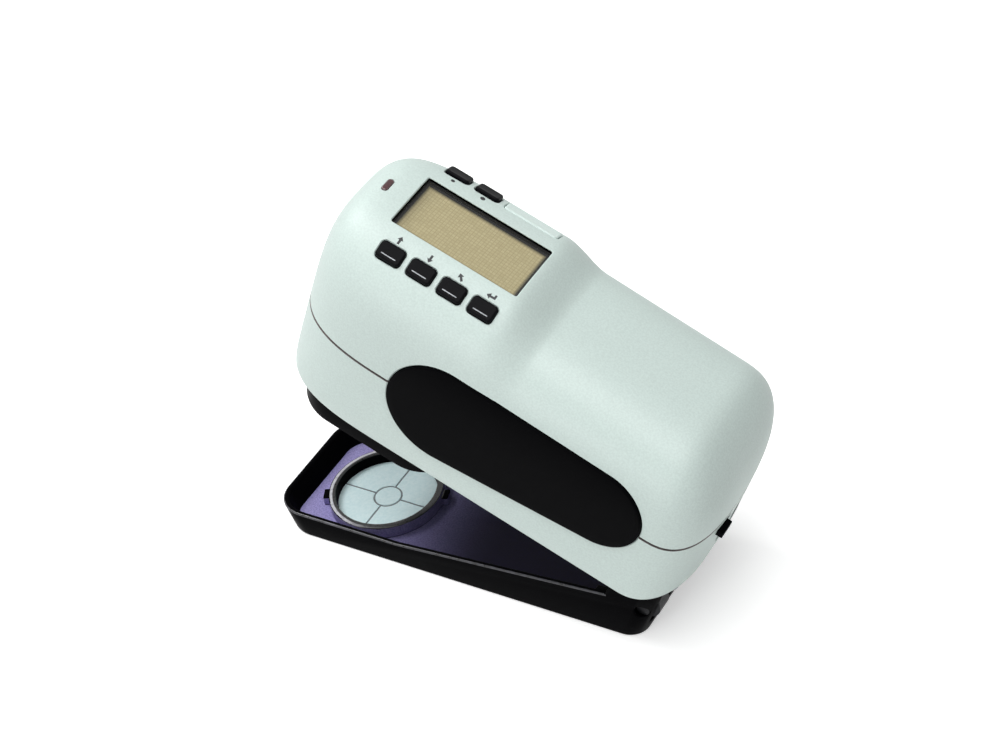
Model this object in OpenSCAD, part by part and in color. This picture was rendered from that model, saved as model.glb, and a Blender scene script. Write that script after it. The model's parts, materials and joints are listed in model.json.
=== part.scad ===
// Portable sphere spectrophotometer: a pale hand-held body that swings on the back of a black shoe.
// The body is drawn closed, level over the shoe, and then turned open about the hinge pin.
// X runs from the measuring end to the hinge, Y across, Z up. The origin is under the middle of the shoe.

/* [Body] */
// Length of the instrument body
body_length = 195; // [180:1:215]
// Width of the instrument body
body_width = 84; // [80:0.5:90]
// Height of the display head above the lower edge of the body
body_height = 103.5; // [99:0.5:108]
// Height of the parting line above the lower edge
parting_height = 48; // [46:0.5:50]
// Height of the rear deck where the step ends
deck_height = 96; // [92:0.5:98]
// Fall of the rear deck from the step to the tail
deck_fall = 4.5; // [0:0.5:6]
// Thickness of the case walls
case_wall = 2.4; // [2:0.1:3]

/* [Display] */
// Length of the display opening
window_length = 58; // [50:0.5:60]
// Width of the display opening
window_width = 29; // [24:0.5:31]
// Distance of the display centre from the front of the body
window_setback = 54; // [53:0.1:57]
// Depth of the window pane below the head
window_depth = 2; // [1.5:0.1:2.5]

/* [Keys] */
// Length of a key
key_length = 11; // [9:0.1:12]
// Width of a key
key_width = 7.4; // [6:0.1:8.6]
// Spacing of the keys along the body
key_pitch = 14.2; // [13.8:0.1:15]
// Distance of each key row from the middle of the body
key_row_y = 26.5; // [25.5:0.1:27.5]
// Slope of the keys, which lie along the rounded shoulder
key_tilt = 26; // [22:1:30]
// Height of a key above the case
key_proud = 1.3; // [1.2:0.1:2]
// Travel of a key
key_travel = 1; // [0.6:0.1:1.2]

/* [Grips] */
// Radius of the front end of a side grip
grip_front_r = 25.5; // [20:0.5:26]
// Radius of the rear end of a side grip
grip_rear_r = 20.5; // [16:0.5:22]
// Distance between the two end centres of a grip
grip_span = 72; // [60:1:78]
// Height of a grip above the case
grip_proud = 1.2; // [0.6:0.1:1.6]

/* [Optics] */
// Inner radius of the integrating sphere
sphere_r = 25.4; // [22:0.1:25.8]
// Wall of the integrating sphere
sphere_wall = 3; // [2:0.1:3.2]
// Radius of the measuring aperture
aperture_r = 6; // [3:0.1:7]
// Distance of the aperture from the front of the body
aperture_setback = 36; // [35.5:0.1:40]
// Number of filters in the filter wheel
filter_count = 12; // [8:1:14]
// Radius of a filter
filter_r = 3.2; // [2.4:0.1:3.4]

/* [Nose] */
// Depth of the black nose block below the case
nose_depth = 16.2; // [15.5:0.1:18]
// Length of the nose block
nose_length = 73; // [71:1:76]
// Width of the nose block
nose_width = 58; // [56:0.5:59]

/* [Shoe] */
// Width of the shoe
shoe_width = 65; // [64.5:0.5:72]
// Thickness of the shoe floor
shoe_floor = 2; // [1.8:0.1:3]
// Thickness of the shoe walls
shoe_wall = 2.4; // [2:0.1:2.6]
// Height of the front wall of the shoe
shoe_front_height = 12; // [9:0.5:14]
// Reach of the shoe in front of the body
shoe_lip = 4.5; // [2:0.5:8]
// Height of the raised target ring above the shoe floor
target_ring_height = 6.5; // [5:0.1:8]
// Radius of the target disc
target_r = 23; // [18:0.1:24]

/* [Hinge] */
// Angle to which the body stands open
open_angle = 24; // [18:1:26]
// Radius of the hinge pin
pin_r = 3; // [2.5:0.1:3.5]
// Height of the hinge pin above the table
hinge_z = 17; // [16.5:0.1:18.5]
// Reach of the body behind the hinge pin
hinge_overhang = 11.5; // [11:0.5:14]
// Distance from the hinge pin to the relief under the tail, which stops the opening
relief_rise = 17.1; // [16.5:0.1:18]
// Turns of the return spring
spring_turns = 6; // [4:1:8]
// Radius of the return spring wire
spring_wire_r = 0.9; // [0.6:0.1:1]

/* [Sockets] */
// Radius of the charger plug bore
jack_bore_r = 2.85; // [2:0.05:3.2]
// Depth of the charger plug bore
jack_depth = 9; // [7:0.5:10]
// Travel of the rear power switch
switch_travel = 4; // [2:0.5:5]

/* [Hidden] */
$fn = 48;
fit_gap = 0.1;
slide_gap = 0.3;
run_gap = 0.05;
far = 400;

// Frame of the closed body over the shoe
shoe_tail = 9;
front_lean = 4;
rear_lean = 11;
shoe_length = shoe_lip + body_length - hinge_overhang + shoe_tail;
base_length = shoe_length - front_lean - rear_lean;
shoe_front = -base_length / 2 - front_lean;
shoe_rear = base_length / 2 + rear_lean;
hinge_x = shoe_rear - shoe_tail;
hinge_point = [hinge_x, 0, hinge_z];
body_front = shoe_front + shoe_lip;
body_rear = body_front + body_length;
closed_gap = 0.5;
aperture_lip = 0.5;
target_top = shoe_floor + target_ring_height;
nose_bottom = target_top + closed_gap + aperture_lip;
body_bottom = nose_bottom + nose_depth;
parting_z = body_bottom + parting_height;
floor_z = body_bottom + case_wall;
seat_gap = 0.5;
seat_z = floor_z + seat_gap;
aperture_x = body_front + aperture_setback;

// Runs and powers of the rounded ends and corners of the body skin
nose_run = 54;
tail_run = 23;
heel_run = 12;
tail_top_run = 27;
brow_run = 26;
chin_run = 12;
plan_power = 3.1;
brow_power = 4;
tail_plan_power = 2.7;
tail_power = 2.3;
chin_power = 5;
shoulder_power = 3.3;
sill_power = 8;
step_start = 82;
step_run = 21;
ring_points = 40;
nose_steps = 10;
step_steps = 8;
tail_steps = 8;
end_bunching = 2.3;
end_start = 0.35;

function blend(t) = let (c = min(1, max(0, t))) c * c * (3 - 2 * c);
function round_end(u, power) = u <= 0 ? 1 : pow(max(0, 1 - pow(min(u, 1), power)), 1 / power);
function power_of(value, power) = sign(value) * pow(abs(value), 2 / power);
function skin_front(inset) = body_front + inset;
function skin_rear(inset) = body_rear - inset;
function front_share(x, inset, run) = (skin_front(inset) + run - x) / run;
function rear_share(x, inset, run) = (x - skin_rear(inset) + run) / run;
function half_width(x, inset) = (body_width / 2 - inset)
    * round_end(front_share(x, inset, nose_run), plan_power)
    * round_end(rear_share(x, inset, tail_run), tail_plan_power);
function deck_line(x) = deck_height
    - deck_fall * (x - body_front - step_start) / (body_length - step_start);
function top_line(x) = body_height
    - (body_height - deck_line(x)) * blend((x - body_front - step_start) / step_run);
function crown(x, inset) = (top_line(x) - parting_height - inset)
    * round_end(front_share(x, inset, brow_run), brow_power)
    * round_end(rear_share(x, inset, tail_top_run), tail_power);
function keel(x, inset) = (parting_height - inset)
    * round_end(front_share(x, inset, chin_run), chin_power)
    * round_end(rear_share(x, inset, heel_run), chin_power);
function surface_z(x, y, inset) = parting_z + crown(x, inset)
    * pow(1 - pow(abs(y) / half_width(x, inset), shoulder_power), 1 / shoulder_power);

// One closed section of the skin, square to X
function skin_ring(x, inset) = [
    for (k = [0 : ring_points - 1])
    let (angle = 360 * k / ring_points, c = cos(angle), s = sin(angle))
    let (power = s >= 0 ? shoulder_power : sill_power)
    [x, half_width(x, inset) * power_of(c, power),
     parting_z + (s >= 0 ? crown(x, inset) : keel(x, inset)) * power_of(s, power)]
];
function stations(inset) = concat(
    [for (i = [0 : nose_steps - 1])
        skin_front(inset) + nose_run * pow((i + end_start) / nose_steps, end_bunching)],
    [skin_front(inset) + nose_run],
    [for (i = [0 : step_steps]) body_front + step_start + step_run * i / step_steps],
    [skin_rear(inset) - tail_top_run],
    [for (i = [tail_steps - 1 : -1 : 0])
        skin_rear(inset) - tail_top_run * pow((i + end_start) / tail_steps, end_bunching)]
);

// The body form, moved in from its outer surface by inset
module skin(inset) {
    xs = stations(inset);
    n = ring_points;
    last = len(xs) - 1;
    points = [for (x = xs) each skin_ring(x, inset)];
    sides = [for (i = [0 : last - 1]) for (k = [0 : n - 1])
        let (a = i * n + k, b = i * n + (k + 1) % n)
        each [[a, a + n, b], [b, a + n, b + n]]];
    caps = [[for (k = [0 : n - 1]) k], [for (k = [n - 1 : -1 : 0]) last * n + k]];
    polyhedron(points, concat(sides, caps), convexity = 8);
}

// Turns what is drawn closed to the open rest pose
module opened() {
    translate(hinge_point) rotate([0, open_angle, 0]) translate(-hinge_point) children();
}

// Turns what is drawn open back to the closed pose
module closed() {
    translate(hinge_point) rotate([0, -open_angle, 0]) translate(-hinge_point) children();
}

module above_parting() {
    translate([-far / 2, -far / 2, parting_z]) cube(far);
}

module below_parting() {
    translate([-far / 2, -far / 2, parting_z + fit_gap - far]) cube(far);
}

// Space under the tail that lets the body stand open on the shoe
module tail_relief(wall) {
    closed() translate([-far / 2, -far / 2, hinge_z + relief_rise + wall - far]) cube(far);
}

module rounded_plate(length, width, height, corner) {
    linear_extrude(height) {
        square([length - 2 * corner, width], center = true);
        square([length, width - 2 * corner], center = true);
        for (sx = [-1, 1]) for (sy = [-1, 1])
            translate([sx * (length / 2 - corner), sy * (width / 2 - corner)]) circle(corner);
    }
}

module tube(outer, inner, length) {
    difference() {
        cylinder(r = outer, h = length);
        translate([0, 0, -1]) cylinder(r = inner, h = length + 2);
    }
}

// A pan head screw that points up, with its head below zero
module screw(shank_r, length, head_r, head_h) {
    cylinder(r = shank_r, h = length);
    difference() {
        translate([0, 0, -head_h]) cylinder(r = head_r, h = head_h);
        translate([0, 0, -head_h - 0.5]) cylinder(r = head_r * 0.5, h = head_h * 0.6 + 0.5, $fn = 6);
    }
}

// Case columns and screws
column_r = 4.2;
column_sink_r = 3.1;
case_screw_r = 1.45;
case_screw_hole_r = 1.6;
case_screw_head_r = 2.8;
case_screw_head_h = 2.2;
case_screw_grip = 4;
case_screw_length = 12;
front_column_setback = 9.5;
front_column_x = body_front + front_column_setback;
front_column_inset = 16;
front_column_y = body_width / 2 - front_column_inset;
rear_column_setback = 22;
rear_column_x = body_rear - rear_column_setback;
rear_column_inset = 7.2;
rear_column_y = body_width / 2 - rear_column_inset;

module column_spots() {
    for (side = [-1, 1]) {
        translate([front_column_x, side * front_column_y, 0]) children();
        translate([rear_column_x, side * rear_column_y, 0]) children();
    }
}

// Side grips, lozenges that lie in a shallow recess over the parting line
grip_start = 78;
grip_front_drop = 1.6;
grip_rear_lift = 1.6;
grip_seat = 1;
grip_border = 0.2;
grip_steps = 12;
grip_rise = grip_front_drop + grip_rear_lift;
grip_reach = norm([grip_span, grip_rise]);
grip_slope = atan2(grip_rise, grip_span);
grip_turn = acos((grip_front_r - grip_rear_r) / grip_reach);
grip_crown = deck_height - deck_fall / 2 - parting_height;

function grip_edge(centre, radius, angle) = centre + radius * [cos(angle), sin(angle)];
function grip_side_y(z, inset) =
    let (height = (z > 0 ? grip_crown : parting_height) - inset)
    let (power = z > 0 ? shoulder_power : sill_power)
    (body_width / 2 - inset) * pow(1 - pow(abs(z) / height, power), 1 / power);

// Outline of a grip seen from the side, through the whole width of the body
module grip_outline(border) {
    front = [body_front + grip_start, parting_z - grip_front_drop];
    rear = front + [grip_span, grip_rise];
    translate([0, body_width / 2 + 10, 0]) rotate([90, 0, 0]) linear_extrude(body_width + 20) {
        translate(front) circle(grip_front_r + border, $fn = 64);
        translate(rear) circle(grip_rear_r + border, $fn = 64);
        polygon([
            grip_edge(front, grip_front_r + border, grip_slope + grip_turn),
            grip_edge(front, grip_front_r + border, grip_slope - grip_turn),
            grip_edge(rear, grip_rear_r + border, grip_slope - grip_turn),
            grip_edge(rear, grip_rear_r + border, grip_slope + grip_turn)
        ]);
    }
}

// The straight middle of the body sides, moved in by inset
module grip_bed(inset) {
    low = -grip_front_r - grip_front_drop - 2;
    high = max(grip_front_r - grip_front_drop, grip_rear_r + grip_rear_lift) + 2;
    heights = [for (i = [0 : grip_steps]) low + (high - low) * i / grip_steps];
    right = [for (z = heights) [grip_side_y(z, inset), parting_z + z]];
    left = [for (i = [grip_steps : -1 : 0]) [-grip_side_y(heights[i], inset), parting_z + heights[i]]];
    translate([body_front, 0, 0]) rotate([90, 0, 90]) linear_extrude(body_length)
        polygon(concat(right, left));
}

module grip_recess() {
    difference() {
        grip_outline(grip_border);
        grip_bed(grip_seat);
    }
}

module side_grip(side) {
    opened() intersection() {
        difference() {
            intersection() {
                grip_bed(-grip_proud);
                grip_outline(0);
            }
            grip_bed(grip_seat - fit_gap);
        }
        translate([-far / 2, side > 0 ? 0 : -far, 0]) cube(far);
    }
}

// Display stack
window_size = [window_length, window_width];
frame_rim = 1.4;
frame_flange = 1.5;
frame_depth = 7.2;
flange_h = 2.2;
window_x = body_front + window_setback;
head_z = body_bottom + body_height;
pane_top = head_z - window_depth;
pane_h = 1.5;
lcd_h = 2.2;
frame_top_drop = 0.8;
frame_bottom = head_z - frame_depth;
display_board_h = 1.6;
lcd_seat_h = pane_top - pane_h - lcd_h - frame_bottom - 2 * fit_gap;

// Keys
key_corner = 1.6;
key_play = 0.35;
tray_wall = 1;
tray_depth = 7.5;
tray_floor = 1.2;
tray_margin = 0.6;
key_height = tray_depth - tray_floor - key_travel - slide_gap + key_proud;
blank_length = key_pitch + key_length;
blank_proud = 0.8;
blank_height = tray_depth - tray_floor - fit_gap + blank_proud;
row_length = 3 * key_pitch + key_length;

function key_x(i) = window_x + (i - 1.5) * key_pitch;

// Places what is drawn level on the sloping shoulder, at one side of the body
module on_shoulder(x, side) {
    translate([x, side * key_row_y, surface_z(x, key_row_y, 0)])
        rotate([-side * key_tilt, 0, 0]) children();
}

module key_cap(length, height, proud) {
    translate([0, 0, proud - height]) rounded_plate(length, key_width, height, key_corner);
}

module key_hole(length) {
    translate([0, 0, -12])
        rounded_plate(length + 2 * key_play, key_width + 2 * key_play, 24, key_corner + key_play);
}

module key(i, side) {
    color("#212125") opened() on_shoulder(key_x(i), side) key_cap(key_length, key_height, key_proud);
}

module near_keys_cut() {
    for (i = [0 : 3]) on_shoulder(key_x(i), -1) key_hole(key_length);
}

module far_keys_cut() {
    for (i = [0 : 1]) on_shoulder(key_x(i), 1) key_hole(key_length);
    on_shoulder(key_x(2.5), 1) key_hole(blank_length);
}

// A tray behind a row of keys, with its rim against the inside of the case
module keypad_tray(side) {
    span = row_length + 2 * (tray_margin + tray_wall);
    depth_y = key_width + 2 * (tray_margin + tray_wall);
    intersection() {
        skin(case_wall + fit_gap);
        on_shoulder(key_x(1.5), side) difference() {
            translate([-span / 2, -depth_y / 2, -tray_depth]) cube([span, depth_y, tray_depth]);
            translate([-span / 2 + tray_wall, -depth_y / 2 + tray_wall, -tray_depth + tray_floor])
                cube([span - 2 * tray_wall, depth_y - 2 * tray_wall, tray_depth]);
        }
    }
}

// Status lamp
led_setback = 14;
led_x = body_front + led_setback;
led_length = 7;
led_width = 2.6;
led_height = 5;
led_proud = 0.4;

module led_shape(border) {
    round_r = led_width / 2 + border;
    round_y = (led_length - led_width) / 2;
    translate([led_x, 0, surface_z(led_x, 0, 0) + led_proud - led_height]) {
        for (side = [-1, 1]) translate([0, side * round_y, 0]) cylinder(r = round_r, h = led_height);
        translate([-round_r, -round_y, 0]) cube([2 * round_r, 2 * round_y, led_height]);
    }
}

// Optics
sphere_rise = 17.3;
sphere_z = body_bottom + sphere_rise;
sphere_outer = sphere_r + sphere_wall;
rim_h = 2;
rim_reach = 3.6;
rim_r = sphere_outer + rim_reach;
chassis_h = 3;
chassis_top = sphere_z - rim_h - fit_gap;
chassis_border = 0.4;
chassis_r = rim_r + chassis_border;
chassis_hole_r = sphere_outer + slide_gap;
chassis_reach = 54;
chassis_end = aperture_x + chassis_reach;
chassis_half = 32;
post_r = 2.1;
post_reach = 2.3;
post_ring = sphere_outer + post_reach;
post_rear_inset = 18.5;
post_front_inset = 23.1;
post_rear_turn = asin((body_width / 2 - post_rear_inset) / post_ring);
post_front_turn = asin((body_width / 2 - post_front_inset) / post_ring);
post_angles = [post_rear_turn, 180 - post_front_turn, 180 + post_front_turn, -post_rear_turn];
rim_screw_r = 1;
rim_screw_head_r = 1.6;
rim_screw_angles = [20, 110, 160, 200, 250, 340];
rim_screw_ring = (sphere_outer + rim_r) / 2;
pickup_tilt = 8;
pickup_port_r = 6;
pickup_sink = 1;
pickup_start = sphere_r + pickup_sink;
pickup_length = 19;
lens_r = 4.9;
lens_h = 2.5;
lens_place = 12;
lamp_tilt = 20;
lamp_port_r = 6.2;
lamp_tube_r = lamp_port_r - fit_gap;
lamp_tube_wall = 1.4;
lamp_bore_r = lamp_tube_r - lamp_tube_wall;
lamp_sink = 1.2;
lamp_start = sphere_r + lamp_sink;
lamp_length = 20;
bulb_r = lamp_bore_r - fit_gap;
bulb_seat = 6;
bulb_tail = 2;
bridge_rise = 41;
bridge_z = sphere_z + bridge_rise;
bridge_h = 3;
bridge_front_reach = 9;
bridge_front = aperture_x - bridge_front_reach;
bridge_rear_reach = 48;
bridge_rear = aperture_x + bridge_rear_reach;
bridge_half = 31;
pillar_r = 2.6;
pillar_rear_reach = 42;
pillar_rear_y = 26;
pillar_front_reach = 24;
pillar_front_y = 28.6;
pillar_places = [
    [aperture_x + pillar_rear_reach, pillar_rear_y], [aperture_x + pillar_rear_reach, -pillar_rear_y],
    [aperture_x + pillar_front_reach, pillar_front_y], [aperture_x + pillar_front_reach, -pillar_front_y]
];
wheel_r = 22;
wheel_h = 3;
wheel_rise = 5;
wheel_z = bridge_z + bridge_h + wheel_rise;
wheel_ring = 17;
hub_r = 5;
hub_drop = 2.5;
shaft_r = 1.5;
motor_r = 9;
motor_h = 14;
shaft_sink = 2;
shaft_z = bridge_z - motor_h + shaft_sink;
wheel_axis_x = aperture_x + (wheel_z + wheel_h / 2 - sphere_z) * tan(pickup_tilt) + wheel_ring;
beam_x = wheel_axis_x - wheel_ring;
detector_rise = 4;
detector_z = wheel_z + wheel_h + detector_rise;
detector_h = 1.6;
detector_front_reach = 14;
detector_front = beam_x - detector_front_reach;
detector_rear_reach = 6;
detector_rear = beam_x + detector_rear_reach;
detector_half = 12;
diode_r = 4;
diode_h = 2.6;
detector_post_setback = 3;
detector_post_x = detector_front + detector_post_setback;
detector_post_y = 8;

module at_sphere() {
    translate([aperture_x, 0, sphere_z]) children();
}

module sphere_port(tilt, radius) {
    rotate([0, tilt, 0]) cylinder(r = radius, h = sphere_outer + 10);
}

module rim_screw_ring() {
    for (a = rim_screw_angles) rotate([0, 0, a]) translate([rim_screw_ring, 0, 0]) children();
}

// Nose block, with its cup for the lower half of the sphere
nose_setback = 8;
nose_corner = 19;
nose_floor = 2.8;
cup_gap = 0.6;
nose_bore_r = sqrt(pow(sphere_outer, 2) - pow(sphere_z - body_bottom, 2)) + cup_gap;
floor_hole_r = sqrt(pow(sphere_outer, 2) - pow(sphere_z - floor_z, 2)) + cup_gap;
nose_front = body_front + nose_setback;
nose_x = nose_front + nose_length / 2;
ring_wall = 4;
ring_outer = aperture_r + ring_wall;
ring_flange = 2;
ring_flange_h = 1.2;
nose_screw_r = 1.25;
nose_screw_head_r = 2.4;
nose_screw_head_h = 1.8;
nose_screw_sink = 3;
nose_screw_edge = 4.5;
nose_screw_turn = (nose_corner - nose_screw_edge) * cos(45);
nose_screw_x = nose_length / 2 - nose_corner + nose_screw_turn;
nose_screw_y = nose_width / 2 - nose_corner + nose_screw_turn;

module nose_screw_spots() {
    for (sx = [-1, 1]) for (sy = [-1, 1])
        translate([nose_x + sx * nose_screw_x, sy * nose_screw_y, 0]) children();
}

// Battery and boards
cell_r = 7.1;
cell_length = 49;
cell_gap = 0.4;
cell_columns = 3;
cell_rows = 2;
cell_pitch = 2 * cell_r + cell_gap;
tray_side = 1.6;
tray_top = 2;
pack_length = cell_columns * cell_pitch + cell_gap;
pack_width = cell_length + 2 * cell_gap;
pack_height = cell_rows * cell_pitch + cell_gap;
pack_gap = 4;
pack_front = chassis_end + pack_gap;
pack_x = pack_front + tray_side + pack_length / 2;
cover_end_gap = 2;
cover_length = pack_length - cover_end_gap;
cover_side_gap = 4;
cover_width = pack_width - cover_side_gap;
cover_rim = [8.5, 2];
cover_size = [cover_length, cover_width];
cover_rim_size = cover_size + 2 * cover_rim;
cover_rim_h = case_wall / 2;
cover_screw_r = 1.2;
cover_screw_head_r = 2.2;
cover_screw_sink = 0.8;
cover_boss_r = 2.6;
cover_boss_h = 5;
cover_screw_offset = 5.6;
cover_screw_reach = cover_length / 2 + cover_screw_offset;
cover_boss_floor = 1;
cover_screw_length = case_wall - cover_screw_sink + cover_boss_h - cover_boss_floor;
board_h = 1.6;
board_length = 74;
board_width = 60;
board_lift = 8;
pack_roof = seat_z + pack_height + tray_top;
board_z = pack_roof + board_lift;
board_offset = 8;
board_x = pack_x + board_offset;
board_post_r = 2.4;
board_post_end_inset = 3;
board_post_dx = pack_length / 2 - board_post_end_inset;
board_post_side_inset = 4;
board_post_dy = pack_width / 2 - board_post_side_inset;
// Each chip has its place on the board and its three sizes
chips = [
    [-18, 8, 14, 14, 2.2], [6, -10, 18, 12, 1.8], [20, 14, 10, 8, 1.6],
    [-22, -16, 9, 20, 3], [24, -14, 8, 8, 6]
];

module cover_screw_spots() {
    for (side = [-1, 1]) translate([pack_x + side * cover_screw_reach, 0, 0]) children();
}

// Rear sockets and switch
io_half = 28;
io_rise = 24;
io_z = body_bottom + io_rise;
io_h = 1.6;
io_front_setback = 28;
io_front = body_rear - io_front_setback;
io_rear_setback = 7.5;
io_rear = body_rear - io_rear_setback;
ledge_in = 3;
ledge_drop = 4;
socket_length = 16;
port_width = 13;
port_height = 12;
port_mouth = [11, 8.2, 12];
port_y = 10;
jack_width = 10;
jack_nose_r = jack_width / 2 - 0.5;
jack_y = -4;
socket_out = 0.4;
socket_front = body_rear + socket_out - socket_length;
io_top = io_z + io_h;
jack_z = io_top + jack_width / 2 + fit_gap;
switch_y = -9;
switch_drop = 6;
switch_z = parting_z - switch_drop;
switch_slot_h = 4.4;
switch_knob_w = 8;
switch_slot_w = switch_knob_w + switch_travel + 2 * slide_gap;
switch_knob_h = 3.6;
switch_proud = 2.4;
switch_depth = 12;
switch_root_depth = 6;
switch_root_x = body_rear - case_wall - switch_root_depth;
switch_body_w = 22;
switch_steps = 6;
switch_body_h = 9;

// Two shelves on the side walls that carry the socket board
module io_ledges() {
    for (side = [0, 1]) mirror([0, side, 0])
        translate([io_front, io_half - ledge_in, io_z - ledge_drop])
            cube([io_rear - io_front, far, ledge_drop]);
}

module socket_openings() {
    translate([body_rear - 12, port_y - port_width / 2 - slide_gap, io_top + fit_gap - slide_gap])
        cube([30, port_width + 2 * slide_gap, port_height + 2 * slide_gap]);
    translate([body_rear - 12, jack_y, jack_z]) rotate([0, 90, 0])
        cylinder(r = jack_nose_r + slide_gap, h = 30);
    translate([body_rear - 12, switch_y - switch_slot_w / 2, switch_z - switch_slot_h / 2])
        cube([30, switch_slot_w, switch_slot_h]);
}

// Hinge and spring
lug_r = 6.5;
lug_width = 8;
ear_width = 5;
ear_gap = 0.4;
pin_bite = 2.6;
ear_inner = shoe_width / 2 - ear_width;
lug_outer = ear_inner - ear_gap;
bracket_h = 3;
bracket_top = hinge_z + relief_rise - fit_gap;
lug_sink = 1;
lug_rise = bracket_top - bracket_h - hinge_z + lug_sink;
bracket_front_reach = 9;
bracket_front = hinge_x - bracket_front_reach;
bracket_rear_reach = 8.5;
bracket_rear = hinge_x + bracket_rear_reach;
bracket_screw_setback = 2;
bracket_screw_x = hinge_x - bracket_screw_setback;
bracket_screw_y = 10;
bracket_screw_r = 1.45;
bracket_screw_head_r = 2.8;
bracket_screw_head_h = 2;
ear_r = relief_rise - slide_gap;
spring_r = 6;
spring_width = 22;
spring_rings = 8;
spring_sides = 6;

module bracket_screw_spots() {
    for (s = [-1, 1]) translate([bracket_screw_x, s * bracket_screw_y, 0]) children();
}

// Outer cases, hollow except for the screw columns that stand in them
module upper_case() {
    color("#c8d9d3") opened() difference() {
        skin(0);
        difference() {
            skin(case_wall);
            column_spots() cylinder(r = column_r, h = far);
        }
        below_parting();
        grip_recess();
        near_keys_cut();
        far_keys_cut();
        translate([0, 0, parting_z - 1]) column_spots()
            cylinder(r = case_screw_hole_r, h = case_screw_length);
        translate([window_x, 0, parting_z + 10]) linear_extrude(far)
            square(window_size + 2 * (frame_rim + fit_gap) * [1, 1], center = true);
        led_shape(fit_gap);
    }
}

module lower_case() {
    color("#c3d5cf") opened() difference() {
        skin(0);
        difference() {
            skin(case_wall);
            tail_relief(case_wall);
            column_spots() cylinder(r = column_r, h = far);
            cover_screw_spots() cylinder(r = cover_boss_r, h = floor_z + cover_boss_h);
            io_ledges();
        }
        above_parting();
        tail_relief(0);
        grip_recess();
        column_spots() {
            cylinder(r = case_screw_hole_r, h = far);
            cylinder(r = column_sink_r, h = parting_z - case_screw_grip);
        }
        translate([aperture_x, 0, 0]) cylinder(r = floor_hole_r, h = floor_z + 1);
        nose_screw_spots() cylinder(r = nose_screw_r + fit_gap, h = floor_z + 1);
        translate([pack_x, 0, 0]) linear_extrude(floor_z + 1)
            square(cover_size + 2 * slide_gap * [1, 1], center = true);
        translate([pack_x, 0, 0]) linear_extrude(body_bottom + cover_rim_h)
            square(cover_rim_size + 2 * slide_gap * [1, 1], center = true);
        cover_screw_spots() cylinder(r = cover_screw_r + fit_gap, h = floor_z + cover_boss_h + 1);
        socket_openings();
        closed() translate([0, 0, hinge_z + relief_rise - 1]) bracket_screw_spots()
            cylinder(r = bracket_screw_r + fit_gap, h = case_wall + 4);
    }
}

module grip_near() {
    color("#17171a") side_grip(-1);
}

module grip_far() {
    color("#17171a") side_grip(1);
}

// Black block under the measuring end, hollow for the sphere
module nose_block() {
    color("#101014") opened() difference() {
        translate([nose_x, 0, nose_bottom])
            rounded_plate(nose_length, nose_width, nose_depth - fit_gap, nose_corner);
        translate([aperture_x, 0, nose_bottom + nose_floor]) cylinder(r = nose_bore_r, h = far);
        translate([aperture_x, 0, 0]) cylinder(r = ring_outer + fit_gap, h = far);
        nose_screw_spots() {
            cylinder(r = nose_screw_r + fit_gap, h = far);
            cylinder(r = nose_screw_head_r + fit_gap, h = nose_bottom + nose_screw_sink);
        }
    }
}

module nose_screws() {
    color("#b8b8bc") opened() translate([0, 0, nose_bottom + nose_screw_sink]) nose_screw_spots()
        screw(nose_screw_r, nose_depth - nose_screw_sink + case_wall, nose_screw_head_r, nose_screw_head_h);
}

// Ring that frames the measuring hole, held by its flange inside the nose block
module aperture_ring() {
    ring_bottom = nose_bottom - aperture_lip;
    color("#e8e8e4") opened() translate([aperture_x, 0, ring_bottom]) difference() {
        union() {
            cylinder(r = ring_outer, h = sphere_z - sphere_outer - ring_bottom + 0.9);
            translate([0, 0, aperture_lip + nose_floor])
                cylinder(r = ring_outer + ring_flange, h = ring_flange_h);
        }
        translate([0, 0, -1]) cylinder(r = aperture_r, h = far);
        translate([0, 0, sphere_z - ring_bottom]) sphere(r = sphere_outer + fit_gap, $fn = 64);
    }
}

// Display
module display_frame() {
    color("#15151a") opened() translate([window_x, 0, frame_bottom]) difference() {
        union() {
            linear_extrude(frame_depth - frame_top_drop)
                square(window_size + 2 * frame_rim * [1, 1], center = true);
            linear_extrude(flange_h)
                square(window_size + 2 * (frame_rim + frame_flange) * [1, 1], center = true);
        }
        translate([0, 0, -1]) linear_extrude(far) square(window_size, center = true);
    }
}

module display_window() {
    color("#d8dcd0", 0.35) opened() translate([window_x, 0, pane_top - pane_h])
        linear_extrude(pane_h) square(window_size - 2 * fit_gap * [1, 1], center = true);
}

module lcd_panel() {
    color("#b0a587") opened() translate([window_x, 0, frame_bottom + lcd_seat_h])
        linear_extrude(lcd_h) square(window_size - 4 * fit_gap * [1, 1], center = true);
}

module lcd_backlight() {
    color("#e6e6e0") opened() translate([window_x, 0, frame_bottom])
        linear_extrude(lcd_seat_h - fit_gap) square(window_size - 4 * fit_gap * [1, 1], center = true);
}

module display_board() {
    color("#2e6b4a") opened() translate([window_x, 0, frame_bottom - fit_gap - display_board_h])
        linear_extrude(display_board_h)
            square(window_size + 2 * (frame_rim + frame_flange) * [1, 1], center = true);
}

// Keys
module menu_key_1() {
    key(0, -1);
}

module menu_key_2() {
    key(1, -1);
}

module menu_key_3() {
    key(2, -1);
}

module menu_key_4() {
    key(3, -1);
}

module target_key() {
    key(0, 1);
}

module read_key() {
    key(1, 1);
}

module blank_key() {
    color("#d7e4e0") opened() on_shoulder(key_x(2.5), 1) key_cap(blank_length, blank_height, blank_proud);
}

module keypad_tray_near() {
    color("#3b3b40") opened() keypad_tray(-1);
}

module keypad_tray_far() {
    color("#3b3b40") opened() keypad_tray(1);
}

module status_led() {
    color("#6b1f28") opened() led_shape(0);
}

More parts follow.
